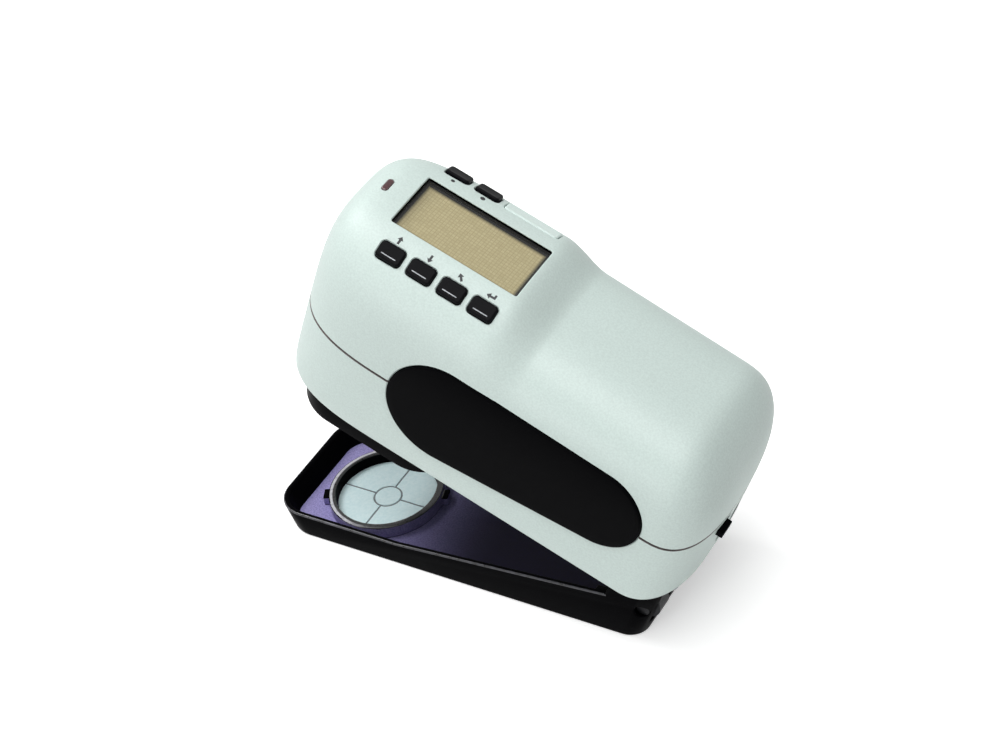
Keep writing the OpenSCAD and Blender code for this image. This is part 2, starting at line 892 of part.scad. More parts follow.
// Optics
module optics_chassis() {
    color("#b9bcc2") opened() difference() {
        union() {
            translate([aperture_x, 0, chassis_top - chassis_h]) cylinder(r = chassis_r, h = chassis_h);
            translate([aperture_x, -chassis_half, chassis_top - chassis_h])
                cube([chassis_end - aperture_x, 2 * chassis_half, chassis_h]);
        }
        translate([aperture_x, 0, 0]) cylinder(r = chassis_hole_r, h = far);
    }
}

module chassis_posts() {
    color("#9a9ca2") opened() for (a = post_angles)
        translate([aperture_x + post_ring * cos(a), post_ring * sin(a), seat_z])
            cylinder(r = post_r, h = chassis_top - chassis_h - seat_z - fit_gap);
}

module sphere_lower() {
    color("#f2f2ee") opened() at_sphere() difference() {
        union() {
            sphere(r = sphere_outer, $fn = 64);
            translate([0, 0, -rim_h]) cylinder(r = rim_r, h = rim_h);
        }
        sphere(r = sphere_r, $fn = 64);
        translate([-far / 2, -far / 2, 0]) cube(far);
        translate([0, 0, -far]) cylinder(r = aperture_r + 1.5, h = far);
        rim_screw_ring() translate([0, 0, -far / 2]) cylinder(r = rim_screw_r + 0.1, h = far);
    }
}

module sphere_upper() {
    color("#f2f2ee") opened() at_sphere() difference() {
        union() {
            sphere(r = sphere_outer, $fn = 64);
            cylinder(r = rim_r, h = rim_h);
        }
        sphere(r = sphere_r, $fn = 64);
        translate([-far / 2, -far / 2, fit_gap - far]) cube(far);
        sphere_port(pickup_tilt, pickup_port_r + fit_gap);
        sphere_port(90 - lamp_tilt, lamp_port_r);
        rim_screw_ring() translate([0, 0, -far / 2]) cylinder(r = rim_screw_r + 0.1, h = far);
    }
}

module sphere_screws() {
    color("#c9c9cc") opened() at_sphere() rim_screw_ring()
        translate([0, 0, rim_h]) mirror([0, 0, 1])
            screw(rim_screw_r, 2 * rim_h, rim_screw_head_r, 1.2);
}

module pickup_tube() {
    color("#232327") opened() at_sphere() rotate([0, pickup_tilt, 0]) translate([0, 0, pickup_start])
        tube(pickup_port_r, lens_r + fit_gap, pickup_length);
}

module pickup_lens() {
    color("#bcd7e0", 0.5) opened() at_sphere() rotate([0, pickup_tilt, 0])
        translate([0, 0, pickup_start + lens_place]) cylinder(r = lens_r + 0.05, h = lens_h);
}

module lamp_holder() {
    color("#8e9096") opened() at_sphere() rotate([0, 90 - lamp_tilt, 0]) translate([0, 0, lamp_start])
        tube(lamp_tube_r, lamp_bore_r, lamp_length);
}

module lamp() {
    color("#f4ecd2") opened() at_sphere() rotate([0, 90 - lamp_tilt, 0]) {
        translate([0, 0, lamp_start + bulb_seat])
            cylinder(r = bulb_r, h = lamp_length - bulb_seat + bulb_tail);
        translate([0, 0, lamp_start + bulb_seat]) sphere(r = bulb_r);
    }
}

module optics_bridge() {
    color("#b9bcc2") opened() difference() {
        translate([bridge_front, -bridge_half, bridge_z])
            cube([bridge_rear - bridge_front, 2 * bridge_half, bridge_h]);
        translate([beam_x - 0.4, 0, bridge_z - 1]) cylinder(r = pickup_port_r + 1.2, h = bridge_h + 2);
        translate([wheel_axis_x, 0, bridge_z - 1]) cylinder(r = shaft_r + 0.6, h = bridge_h + 2);
    }
}

module bridge_pillars() {
    color("#9a9ca2") opened() for (p = pillar_places)
        translate([p[0], p[1], chassis_top + fit_gap])
            cylinder(r = pillar_r, h = bridge_z - chassis_top - 2 * fit_gap);
}

module filter_motor() {
    color("#55585e") opened() translate([wheel_axis_x, 0, bridge_z - fit_gap - motor_h])
        tube(motor_r, shaft_r + run_gap, motor_h);
}

module filter_wheel() {
    color("#1d1d21") opened() translate([wheel_axis_x, 0, 0]) difference() {
        union() {
            translate([0, 0, wheel_z]) cylinder(r = wheel_r, h = wheel_h);
            translate([0, 0, wheel_z - hub_drop]) cylinder(r = hub_r, h = hub_drop + 1);
            translate([0, 0, shaft_z]) cylinder(r = shaft_r, h = wheel_z - shaft_z + 1);
        }
        for (i = [0 : filter_count - 1]) rotate([0, 0, 180 + 360 * i / filter_count])
            translate([wheel_ring, 0, wheel_z - 1]) cylinder(r = filter_r + run_gap, h = wheel_h + 2);
    }
}

module filters() {
    color("#7fa3c8") opened() translate([wheel_axis_x, 0, 0])
        for (i = [0 : filter_count - 1]) rotate([0, 0, 180 + 360 * i / filter_count])
            translate([wheel_ring, 0, wheel_z + 0.4]) cylinder(r = filter_r, h = wheel_h - 0.8);
}

module detector_board() {
    color("#2e6b4a") opened() {
        translate([detector_front, -detector_half, detector_z])
            cube([detector_rear - detector_front, 2 * detector_half, detector_h]);
        translate([beam_x, 0, detector_z - diode_h]) cylinder(r = diode_r, h = diode_h + 0.5);
    }
}

module detector_posts() {
    color("#9a9ca2") opened() for (s = [-1, 1])
        translate([detector_post_x, s * detector_post_y, bridge_z + bridge_h + fit_gap])
            cylinder(r = 1.8, h = detector_z - bridge_z - bridge_h - 2 * fit_gap);
}

// Battery, boards and sockets
module battery_tray() {
    color("#2a2a2e") opened() difference() {
        translate([pack_x - pack_length / 2 - tray_side, -pack_width / 2 - tray_side, seat_z])
            cube([pack_length + 2 * tray_side, pack_width + 2 * tray_side, pack_height + tray_top]);
        translate([pack_x - pack_length / 2, -pack_width / 2, seat_z - 1])
            cube([pack_length, pack_width, pack_height + 1]);
    }
}

module battery_cells() {
    color("#3f6fb0") opened() for (i = [0 : cell_columns - 1]) for (j = [0 : cell_rows - 1])
        translate([pack_x + (i - (cell_columns - 1) / 2) * cell_pitch, cell_length / 2,
                   seat_z + cell_r + j * cell_pitch])
            rotate([90, 0, 0]) cylinder(r = cell_r, h = cell_length);
}

module battery_cover() {
    color("#bfd0cb") opened() difference() {
        translate([pack_x, 0, body_bottom]) {
            linear_extrude(case_wall) square(cover_size, center = true);
            linear_extrude(cover_rim_h - fit_gap)
                square(cover_rim_size, center = true);
        }
        cover_screw_spots() {
            cylinder(r = cover_screw_r + fit_gap, h = far);
            cylinder(r = cover_screw_head_r + fit_gap, h = body_bottom + cover_screw_sink);
        }
    }
}

module cover_screws() {
    color("#b8b8bc") opened() translate([0, 0, body_bottom + cover_screw_sink]) cover_screw_spots()
        screw(cover_screw_r, cover_screw_length, cover_screw_head_r, cover_screw_sink);
}

module main_board() {
    color("#2e6b4a") opened() translate([board_x - board_length / 2, -board_width / 2, board_z])
        cube([board_length, board_width, board_h]);
}

module board_posts() {
    color("#c9b26a") opened() for (sx = [-1, 1]) for (sy = [-1, 1])
        translate([pack_x + sx * board_post_dx, sy * board_post_dy, pack_roof + fit_gap])
            cylinder(r = board_post_r, h = board_lift - 2 * fit_gap);
}

module board_chips() {
    color("#1b1b1e") opened() for (c = chips)
        translate([board_x + c[0] - c[2] / 2, c[1] - c[3] / 2, board_z + board_h]) cube([c[2], c[3], c[4]]);
}

module io_board() {
    color("#2e6b4a") opened() translate([io_front, -io_half, io_z + fit_gap])
        cube([io_rear - io_front - fit_gap, 2 * io_half, io_h - fit_gap]);
}

module data_port() {
    color("#2a2a2e") opened() difference() {
        translate([socket_front, port_y - port_width / 2, io_top + fit_gap])
            cube([socket_length, port_width, port_height]);
        translate([socket_front + socket_length - port_mouth[2], port_y - port_mouth[0] / 2,
                   io_top + fit_gap + (port_height - port_mouth[1]) / 2])
            cube([port_mouth[2] + 1, port_mouth[0], port_mouth[1]]);
    }
}

module charger_jack() {
    color("#2a2a2e") opened() difference() {
        union() {
            translate([socket_front, jack_y - jack_width / 2, io_top + fit_gap])
                cube([socket_length / 2, jack_width, jack_width]);
            translate([socket_front, jack_y, jack_z]) rotate([0, 90, 0])
                cylinder(r = jack_nose_r, h = socket_length);
        }
        translate([socket_front + socket_length - jack_depth, jack_y, jack_z]) rotate([0, 90, 0])
            cylinder(r = jack_bore_r, h = jack_depth + 1);
    }
}

function tail_x(y, inset) = skin_rear(inset) - tail_run
    + tail_run * pow(1 - pow(abs(y) / (body_width / 2 - inset), tail_plan_power), 1 / tail_plan_power);

// Block behind the switch slot, with its rear face along the inside of the case
module switch_body() {
    start = body_rear - case_wall - switch_depth;
    ys = [for (i = [0 : switch_steps]) switch_y + switch_body_w * (i / switch_steps - 0.5)];
    color("#3b3b40") opened() difference() {
        translate([0, 0, switch_z - switch_body_h / 2]) linear_extrude(switch_body_h)
            polygon(concat([[start, ys[switch_steps]], [start, ys[0]]],
                [for (y = ys) [tail_x(y, case_wall + slide_gap), y]]));
        translate([switch_root_x - 1, switch_y - switch_slot_w / 2, switch_z - switch_slot_h / 2])
            cube([far, switch_slot_w, switch_slot_h]);
    }
}

module power_switch() {
    color("#101014") opened()
        translate([switch_root_x, switch_y - (switch_travel + switch_knob_w) / 2,
                   switch_z - switch_knob_h / 2])
            cube([body_rear + switch_proud - switch_root_x, switch_knob_w, switch_knob_h]);
}

module case_screws() {
    color("#b8b8bc") opened() translate([0, 0, parting_z - case_screw_grip]) column_spots()
        screw(case_screw_r, case_screw_length, case_screw_head_r, case_screw_head_h);
}

// Hinge
module hinge_bracket() {
    color("#8e9096") difference() {
        union() {
            translate([bracket_front, -lug_outer, bracket_top - bracket_h])
                cube([bracket_rear - bracket_front, 2 * lug_outer, bracket_h]);
            for (s = [-1, 1]) translate([hinge_x, s * (lug_outer - lug_width / 2), 0]) {
                translate([0, 0, hinge_z]) rotate([90, 0, 0])
                    cylinder(r = lug_r, h = lug_width, center = true);
                translate([-lug_r, -lug_width / 2, hinge_z]) cube([2 * lug_r, lug_width, lug_rise]);
            }
        }
        translate(hinge_point) rotate([90, 0, 0])
            cylinder(r = pin_r + run_gap, h = body_width, center = true);
        bracket_screw_spots() cylinder(r = bracket_screw_r + 0.1, h = far);
    }
}

module bracket_screws() {
    color("#c9c9cc") translate([0, 0, bracket_top - bracket_h - fit_gap]) bracket_screw_spots()
        screw(bracket_screw_r, bracket_h + case_wall + 2, bracket_screw_head_r, bracket_screw_head_h);
}

module hinge_pin() {
    color("#c4c6ca") translate(hinge_point) rotate([90, 0, 0])
        cylinder(r = pin_r, h = 2 * (ear_inner + pin_bite), center = true);
}

// One tube along the points of a path, with rings square to the way it runs
function unit(v) = v / norm(v);
function along(path, i) = unit(path[min(len(path) - 1, i + 1)] - path[max(0, i - 1)]);
function across(way) = unit(cross(way, abs(way[1]) > 0.9 ? [1, 0, 0] : [0, 1, 0]));

module wire(path, radius, sides) {
    n = len(path);
    points = [for (i = [0 : n - 1])
        let (way = along(path, i), u = across(way), v = cross(way, u))
        for (k = [0 : sides - 1]) path[i] + radius * (cos(360 * k / sides) * u + sin(360 * k / sides) * v)];
    walls = [for (i = [0 : n - 2]) for (k = [0 : sides - 1])
        let (a = i * sides + k, b = i * sides + (k + 1) % sides)
        each [[a, a + sides, b], [b, a + sides, b + sides]]];
    ends = [[for (k = [0 : sides - 1]) k], [for (k = [sides - 1 : -1 : 0]) (n - 1) * sides + k]];
    polyhedron(points, concat(walls, ends), convexity = 10);
}

// The coil starts at its lowest point and ends at its rearmost one, so it holds a quarter turn more
spring_pitch = spring_width / (spring_turns + 0.25);
spring_foot_reach = 18;
spring_foot_z = shoe_floor + spring_wire_r + slide_gap;
spring_head_z = bracket_top - bracket_h - slide_gap;

function coil_point(turn) = [
    hinge_x + spring_r * cos(360 * turn - 90), spring_pitch * turn - spring_width / 2,
    hinge_z + spring_r * sin(360 * turn - 90)
];
coil_path = [for (i = [0 : spring_turns * spring_rings + spring_rings / 4]) coil_point(i / spring_rings)];
spring_path = concat(
    [[hinge_x - spring_foot_reach, -spring_width / 2, spring_foot_z],
     [hinge_x - spring_foot_reach / 2, -spring_width / 2, hinge_z - spring_r]],
    coil_path,
    [[hinge_x + spring_r, spring_width / 2, spring_head_z]]
);
spring_last = len(spring_path) - 1;
spring_gaps = [for (i = [0 : spring_last]) for (j = [i + spring_rings - 1 : 1 : spring_last])
    norm(spring_path[i] - spring_path[j]) - 2 * spring_wire_r];
echo(least_gap_between_spring_turns = min(spring_gaps));

module return_spring() {
    color("#a9abb0") wire(spring_path, spring_wire_r, spring_sides);
}

// Shoe
side_low = 12;
side_high = 22;
side_break_setback = 122;
side_break = hinge_x - side_break_setback;
ear_foot_setback = 13;
ear_foot = hinge_x - ear_foot_setback;
rear_lean_z = 24;
shoe_corner = 14;
shoe_rear_corner = 8;
sill_z = 8;
sill_setback = 4;
sill_front = hinge_x - sill_setback;
cavity_setback = 22;
cavity_rear = hinge_x - cavity_setback;
front_turn = -atan2(front_lean, shoe_front_height);
rear_turn = atan2(rear_lean, rear_lean_z);
end_spare = 6;
foot_r = 6;
foot_h = 1.2;
foot_inset_x = 26;
foot_inset_y = 12;

// Side view of the shoe, with the round tops of the hinge ears, past the ends of the shoe
module shoe_profile() {
    front = shoe_front - end_spare;
    rear = shoe_rear + end_spare;
    rotate([90, 0, 0]) linear_extrude(shoe_width + 2, center = true) {
        polygon([
            [front, 0], [rear, 0], [rear, rear_lean_z], [hinge_x, rear_lean_z],
            [ear_foot, side_high], [side_break, side_low], [front, shoe_front_height]
        ]);
        intersection() {
            translate([hinge_x, hinge_z]) circle(ear_r, $fn = 64);
            translate([hinge_x - far, hinge_z]) square([far + shoe_tail, far]);
        }
    }
}

// A long bar with a leaning end and round corners there, moved in from the sides of the shoe by inset
module leaning_end(x, way, lean, corner, inset) {
    half = shoe_width / 2 - inset;
    radius = corner - inset;
    translate([x, 0, 0]) rotate([0, lean, 0]) linear_extrude(far, center = true) {
        translate([way > 0 ? -far : radius, -half]) square([far - radius, 2 * half]);
        translate([way > 0 ? -radius : 0, radius - half]) square([radius, 2 * (half - radius)]);
        for (side = [-1, 1]) translate([-way * radius, side * (half - radius)]) circle(radius);
    }
}

// Hollow of the shoe, with its front face along the leaning front wall
module shoe_cavity() {
    intersection() {
        leaning_end(shoe_front + front_lean + shoe_wall, -1, front_turn, shoe_corner, shoe_wall);
        translate([cavity_rear - far, -far / 2, shoe_floor]) cube(far);
    }
}

module shoe() {
    color("#101014") difference() {
        intersection() {
            shoe_profile();
            leaning_end(shoe_front + front_lean, -1, front_turn, shoe_corner, 0);
            leaning_end(shoe_rear - rear_lean, 1, rear_turn, shoe_rear_corner, 0);
        }
        shoe_cavity();
        translate([cavity_rear - 1, -ear_inner, shoe_floor])
            cube([sill_front - cavity_rear + 1, 2 * ear_inner, far]);
        translate([sill_front - 1, -ear_inner, sill_z]) cube([far, 2 * ear_inner, far]);
        translate(hinge_point) rotate([90, 0, 0])
            cylinder(r = pin_r + run_gap, h = shoe_width + 2, center = true);
        foot_spots() translate([0, 0, -1]) cylinder(r = foot_r + fit_gap, h = foot_h + 1);
    }
}

module foot_spots() {
    for (sx = [-1, 1]) for (sy = [-1, 1])
        translate([sx * (base_length / 2 - foot_inset_x), sy * (shoe_width / 2 - foot_inset_y), 0])
            children();
}

module shoe_feet() {
    color("#2a2a2e") foot_spots() cylinder(r = foot_r, h = foot_h);
}

target_wall = 3;
target_gap = 0.2;
tab_reach = 3;
tab_width = 6;
tab_angles = [17, 205];
disc_h = 1;

module target_ring() {
    color("#141418") translate([aperture_x, 0, shoe_floor]) difference() {
        union() {
            cylinder(r = target_r + target_gap + target_wall, h = target_ring_height, $fn = 96);
            for (a = tab_angles) rotate([0, 0, a]) translate([target_r, -tab_width / 2, 0])
                cube([target_wall + tab_reach, tab_width, target_ring_height - 2]);
        }
        translate([0, 0, -1]) cylinder(r = target_r + target_gap, h = target_ring_height + 2, $fn = 96);
    }
}

module target_disc() {
    color("#c0e2e4") translate([aperture_x, 0, shoe_floor]) cylinder(r = target_r, h = disc_h, $fn = 96);
}

upper_case();
lower_case();
grip_near();
grip_far();
nose_block();
nose_screws();
aperture_ring();
display_frame();
display_window();
lcd_panel();
lcd_backlight();
display_board();
menu_key_1();
menu_key_2();
menu_key_3();
menu_key_4();
target_key();
read_key();
blank_key();
keypad_tray_near();
keypad_tray_far();
status_led();
optics_chassis();
chassis_posts();
sphere_lower();
sphere_upper();
sphere_screws();
pickup_tube();
pickup_lens();
lamp_holder();
lamp();
optics_bridge();
bridge_pillars();
filter_motor();
filter_wheel();
filters();
detector_board();
detector_posts();
battery_tray();
battery_cells();
battery_cover();
cover_screws();
main_board();
board_posts();
board_chips();
io_board();
data_port();
charger_jack();
switch_body();
power_switch();
case_screws();
hinge_bracket();
bracket_screws();
hinge_pin();
return_spring();
shoe();
shoe_feet();
target_ring();
target_disc();
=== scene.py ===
import json
import math

import bmesh
import bpy
from mathutils import Matrix, Vector


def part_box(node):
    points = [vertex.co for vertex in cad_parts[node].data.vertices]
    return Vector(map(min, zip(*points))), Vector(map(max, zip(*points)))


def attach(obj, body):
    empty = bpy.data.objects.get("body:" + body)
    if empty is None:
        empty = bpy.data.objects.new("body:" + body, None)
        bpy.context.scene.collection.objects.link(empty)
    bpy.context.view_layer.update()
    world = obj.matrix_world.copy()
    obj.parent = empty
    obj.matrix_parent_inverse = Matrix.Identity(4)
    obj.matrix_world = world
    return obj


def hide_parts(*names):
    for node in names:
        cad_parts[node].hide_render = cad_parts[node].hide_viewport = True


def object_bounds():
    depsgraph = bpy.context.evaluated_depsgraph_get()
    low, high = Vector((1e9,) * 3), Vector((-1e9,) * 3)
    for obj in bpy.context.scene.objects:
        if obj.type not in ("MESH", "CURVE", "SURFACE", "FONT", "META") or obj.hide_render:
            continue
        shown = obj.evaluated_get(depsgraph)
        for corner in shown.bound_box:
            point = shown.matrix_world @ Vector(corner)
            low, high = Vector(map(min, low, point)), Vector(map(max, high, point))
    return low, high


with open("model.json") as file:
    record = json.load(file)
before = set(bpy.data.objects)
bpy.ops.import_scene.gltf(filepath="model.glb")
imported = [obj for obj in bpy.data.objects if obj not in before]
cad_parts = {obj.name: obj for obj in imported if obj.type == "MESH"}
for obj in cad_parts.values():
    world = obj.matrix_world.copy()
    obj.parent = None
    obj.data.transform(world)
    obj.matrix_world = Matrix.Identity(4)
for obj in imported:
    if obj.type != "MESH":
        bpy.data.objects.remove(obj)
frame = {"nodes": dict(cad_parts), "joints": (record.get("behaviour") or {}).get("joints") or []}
cad_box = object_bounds()

# Camera
# It stands on the near side, towards the hinge end and well above, and is rolled, so that the instrument
# runs down to the right as in the photograph, which is 1000 by 750.
mm = 0.001


def placed(name, data):
    """A new object in the scene."""
    item = bpy.data.objects.new(name, data)
    bpy.context.scene.collection.objects.link(item)
    return item


camera_azimuth = math.radians(37.20)
camera_elevation = math.radians(40.14)
camera_roll = math.radians(10.91)
camera_distance = 1100 * mm
look_at = Vector((6.9, 17.8, 79.8)) * mm
away = Vector((math.sin(camera_azimuth) * math.cos(camera_elevation),
               -math.cos(camera_azimuth) * math.cos(camera_elevation),
               math.sin(camera_elevation)))
level = Vector((math.cos(camera_azimuth), math.sin(camera_azimuth), 0))
upright = away.cross(level)
image_right = math.cos(camera_roll) * level - math.sin(camera_roll) * upright
image_up = math.sin(camera_roll) * level + math.cos(camera_roll) * upright
camera = placed("camera", bpy.data.cameras.new("camera"))
camera.data.sensor_width = 36
camera.data.lens = 93.46
camera_turn = Matrix((image_right, image_up, away)).transposed().to_4x4()
camera.matrix_world = Matrix.Translation(look_at + camera_distance * away) @ camera_turn
bpy.context.scene.camera = camera
bpy.context.scene.view_settings.view_transform = "Standard"


# Studio
# White paper lies under the object, and three soft lamps light it from the front, the top and the near side.
# The paper shows white to the camera and in reflections, and keeps the object's shadow.
def linear(code):
    """A linear colour from an sRGB hex code."""
    shares = [int(code[i:i + 2], 16) / 255 for i in (1, 3, 5)]
    return [s / 12.92 if s <= 0.04045 else ((s + 0.055) / 1.055) ** 2.4 for s in shares] + [1]


def add(tree, kind, inputs=(), **settings):
    """A new node with its settings, and with each input set to a value or linked to a socket."""
    made = tree.nodes.new(kind)
    for name, value in settings.items():
        setattr(made, name, value)
    for name, value in dict(inputs).items():
        if isinstance(value, bpy.types.NodeSocket):
            tree.links.new(value, made.inputs[name])
        else:
            made.inputs[name].default_value = value
    return made


def seen_directly(tree):
    """One where the camera, a reflection or a view through glass sees the surface, and zero for its light."""
    path = add(tree, "ShaderNodeLightPath")
    mirrored = add(tree, "ShaderNodeMath", {
        0: path.outputs["Is Camera Ray"], 1: path.outputs["Is Glossy Ray"]}, operation="MAXIMUM")
    through = add(tree, "ShaderNodeMath", {
        0: mirrored.outputs[0], 1: path.outputs["Is Transmission Ray"]}, operation="MAXIMUM")
    return through.outputs[0]


def blank(name):
    """A new material and its empty node tree."""
    material = bpy.data.materials.new(name)
    material.use_nodes = True
    material.node_tree.nodes.clear()
    return material, material.node_tree


paper_reach = 4.0
paper_drop = 0.2 * mm
corner_ways = ((-1, -1), (1, -1), (1, 1), (-1, 1))
paper_mesh = bpy.data.meshes.new("paper")
paper_mesh.from_pydata([(paper_reach * x, paper_reach * y, -paper_drop) for x, y in corner_ways], [],
                       [(0, 1, 2, 3)])
paper = placed("paper", paper_mesh)
# Matte white paper. The lamps reach only the part near the object, so farther out its own glow takes over.
paper_white, paper_tree = blank("seamless_white_paper")
lamplit_reach, glow_reach, near_glow = 0.5, 1.6, 0.5
paper_place = add(paper_tree, "ShaderNodeTexCoord")
paper_distance = add(paper_tree, "ShaderNodeVectorMath", {0: paper_place.outputs["Object"]},
                     operation="LENGTH")
paper_share = add(paper_tree, "ShaderNodeMapRange", {
    "Value": paper_distance.outputs["Value"], "From Min": lamplit_reach, "From Max": glow_reach,
    "To Min": near_glow, "To Max": 1.0})
paper_glow = add(paper_tree, "ShaderNodeMath", {
    0: seen_directly(paper_tree), 1: paper_share.outputs[0]}, operation="MULTIPLY")
paper_sum = add(paper_tree, "ShaderNodeAddShader", {
    0: add(paper_tree, "ShaderNodeBsdfDiffuse", {"Color": linear("#f4f4f4")}).outputs[0],
    1: add(paper_tree, "ShaderNodeEmission", {"Strength": paper_glow.outputs[0]}).outputs[0]})
add(paper_tree, "ShaderNodeOutputMaterial", {"Surface": paper_sum.outputs[0]})
paper_mesh.materials.append(paper_white)

room_light = 0.15
room = bpy.data.worlds.new("white_room")
room.use_nodes = True
room.node_tree.nodes.clear()
room_strength = add(room.node_tree, "ShaderNodeMapRange", {
    "Value": seen_directly(room.node_tree), "To Min": room_light, "To Max": 1.0})
room_back = add(room.node_tree, "ShaderNodeBackground", {
    "Color": linear("#ffffff"), "Strength": room_strength.outputs[0]})
add(room.node_tree, "ShaderNodeOutputWorld", {"Surface": room_back.outputs[0]})
bpy.context.scene.world = room

# Each lamp has its azimuth and elevation in degrees, its distance and size in metres, and its power in watts.
lamps = {"front_lamp": (-85, 60, 1.3, 0.5, 7.4), "top_lamp": (50, 74, 1.3, 0.9, 10.4),
         "near_lamp": (-8, 10, 1.5, 0.42, 5.0)}
for lamp_name, (azimuth, elevation, distance, size, power) in lamps.items():
    lamp_light = bpy.data.lights.new(lamp_name, "AREA")
    lamp_light.energy = power
    lamp_light.size = size
    flat = math.cos(math.radians(elevation))
    way = Vector((math.sin(math.radians(azimuth)) * flat, -math.cos(math.radians(azimuth)) * flat,
                  math.sin(math.radians(elevation))))
    lamp_turn = (-way).to_track_quat("-Z", "Y").to_matrix().to_4x4()
    placed(lamp_name, lamp_light).matrix_world = Matrix.Translation(distance * way) @ lamp_turn


# Shoe
# The black tray that the instrument stands on, moulded in one piece of ABS with a rim and two hinge ears.
# Its edges are rounded off by the mould, and its floor is spark-textured, so it scatters light.
def grained(name, dark, light, grain, depth, roughness, values=(), stretch=(1, 1, 1)):
    """A finish with a fine grain: grain and depth are its size and height in metres."""
    material, tree = blank(name)
    place = add(tree, "ShaderNodeTexCoord")
    spread = add(tree, "ShaderNodeMapping", {"Vector": place.outputs["Object"], "Scale": stretch})
    noise = add(tree, "ShaderNodeTexNoise", {"Vector": spread.outputs[0], "Scale": 1 / grain, "Detail": 3})
    colour = add(tree, "ShaderNodeValToRGB", {"Fac": noise.outputs["Fac"]})
    for stop, position, code in zip(colour.color_ramp.elements, (0.35, 0.65), (dark, light)):
        stop.position = position
        stop.color = linear(code)
    rough = add(tree, "ShaderNodeMapRange", {"Value": noise.outputs["Fac"], "From Min": 0.3, "From Max": 0.7,
                                             "To Min": roughness[0], "To Max": roughness[1]})
    bump = add(tree, "ShaderNodeBump", {"Height": noise.outputs["Fac"], "Distance": depth})
    shader = add(tree, "ShaderNodeBsdfPrincipled", {
        "Base Color": colour.outputs[0], "Roughness": rough.outputs[0], "Normal": bump.outputs[0],
        **dict(values)})
    add(tree, "ShaderNodeOutputMaterial", {"Surface": shader.outputs[0]})
    return material


def piece_from(name, form, materials, sharp=35):
    """An object from a bmesh, smooth except over edges sharper than the given angle."""
    mesh = bpy.data.meshes.new(name)
    form.to_mesh(mesh)
    form.free()
    mesh.shade_smooth()
    mesh.set_sharp_from_angle(angle=math.radians(sharp))
    for material in materials:
        mesh.materials.append(material)
    return placed(name, mesh)


weld_gap = 0.001 * mm
flat_angle, sharp_angle = math.radians(0.5), math.radians(30)


def merged(node):
    """A copy of a CAD node's form, with its loose triangles joined."""
    form = bmesh.new()
    form.from_mesh(frame["nodes"][node].data)
    bmesh.ops.remove_doubles(form, verts=form.verts, dist=weld_gap)
    return form


def softened(node, width, edge_slot=0, clamp=True):
    """The form of a CAD node with its sharp edges rounded off, and those faces in a slot of their own."""
    form = merged(node)
    bmesh.ops.dissolve_limit(form, angle_limit=flat_angle, verts=form.verts, edges=form.edges)
    sharp = [e for e in form.edges if e.is_manifold and e.calc_face_angle() > sharp_angle]
    bmesh.ops.bevel(form, geom=sharp, offset=width, segments=3, profile=0.5, affect="EDGES",
                    clamp_overlap=clamp, material=edge_slot)
    return form


def faded(material, start, end, code, about=None):
    """Tints a finish from start to end, along the object's length or by distance from an upright line."""
    tree = material.node_tree
    base = next(n for n in tree.nodes if n.bl_idname == "ShaderNodeBsdfPrincipled").inputs["Base Color"]
    place = add(tree, "ShaderNodeTexCoord")
    if about is None:
        measure = add(tree, "ShaderNodeSeparateXYZ", {"Vector": place.outputs["Object"]}).outputs["X"]
    else:
        flat = add(tree, "ShaderNodeMapping", {
            "Vector": place.outputs["Object"], "Location": (-about.x, -about.y, 0), "Scale": (1, 1, 0)})
        length = add(tree, "ShaderNodeVectorMath", {0: flat.outputs[0]}, operation="LENGTH")
        measure = length.outputs["Value"]
    share = add(tree, "ShaderNodeMapRange", {"Value": measure, "From Min": start, "From Max": end},
                interpolation_type="SMOOTHSTEP")
    # A Mix node's colours are its inputs 6 and 7 and its output 2.
    tint = add(tree, "ShaderNodeMix", {
        "Factor": share.outputs[0], 6: base.links[0].from_socket, 7: linear(code)}, data_type="RGBA",
        blend_type="MULTIPLY")
    tree.links.new(tint.outputs[2], base)


def settle(piece, body, slot, *nodes):
    """Puts a piece on its body in place of CAD nodes. The slot is not used."""
    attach(piece, body)
    if nodes:
        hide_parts(*nodes)


# Black ABS from a satin mould: nearly black, with a soft highlight along each rounded edge.
# The real grain is about 0.1 mm and is drawn at 0.6 mm, so that it shows.
black_abs = grained("satin_black_abs", "#020203", "#060608", 0.6 * mm, 0.01 * mm, (0.28, 0.4),
                    {"Specular IOR Level": 0.01})
# The same plastic from a spark-eroded face of the mould: a rough floor. Its pale violet is painted light for
# the lit floor at the front, and it fades to near black towards the rear as painted shade under the body. Its
# grain is drawn coarser than real, so it shows.
floor_painted_light = grained("spark_textured_abs_painted_light", "#8d86ba", "#aba4d6", 0.7 * mm, 0.02 * mm, (0.5, 0.6),
                    {"Specular IOR Level": 0.1})
faded(floor_painted_light, -80 * mm, 10 * mm, "#1e1830")
shoe_round = 0.7 * mm
shoe_floor_z, floor_play = 2 * mm, 0.3 * mm
rim_start_z, rim_end_z = 4 * mm, 23 * mm
rim_end_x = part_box("hinge_pin")[0].x - 3 * mm
shoe_form = softened("shoe", shoe_round, 2, False)
shoe_form.normal_update()
# Of all the rounded edges, only the rim's outer edge in front of the hinge keeps the painted highlight.
for face in shoe_form.faces:
    middle = face.calc_center_median()
    if face.normal.z > 0.9 and abs(middle.z - shoe_floor_z) < floor_play:
        face.material_index = 1
    elif (face.normal.xy.dot(middle.xy) < 0 or face.normal.z < 0.1 or middle.x > rim_end_x
          or not rim_start_z < middle.z < rim_end_z):
        face.material_index = 0
# A painted highlight: the rim's edge is drawn as a thin grey line, brightest at the front corner.
rim_painted_highlight = grained("rim_painted_highlight_abs", "#1c1c20", "#62626a", 3 * mm, 0.005 * mm, (0.25, 0.35))
faded(rim_painted_highlight, -90 * mm, -40 * mm, "#9a9aa0")
settle(piece_from("shoe_tray", shoe_form, [black_abs, floor_painted_light, rim_painted_highlight]), "shoe", "black_plastic", "shoe")


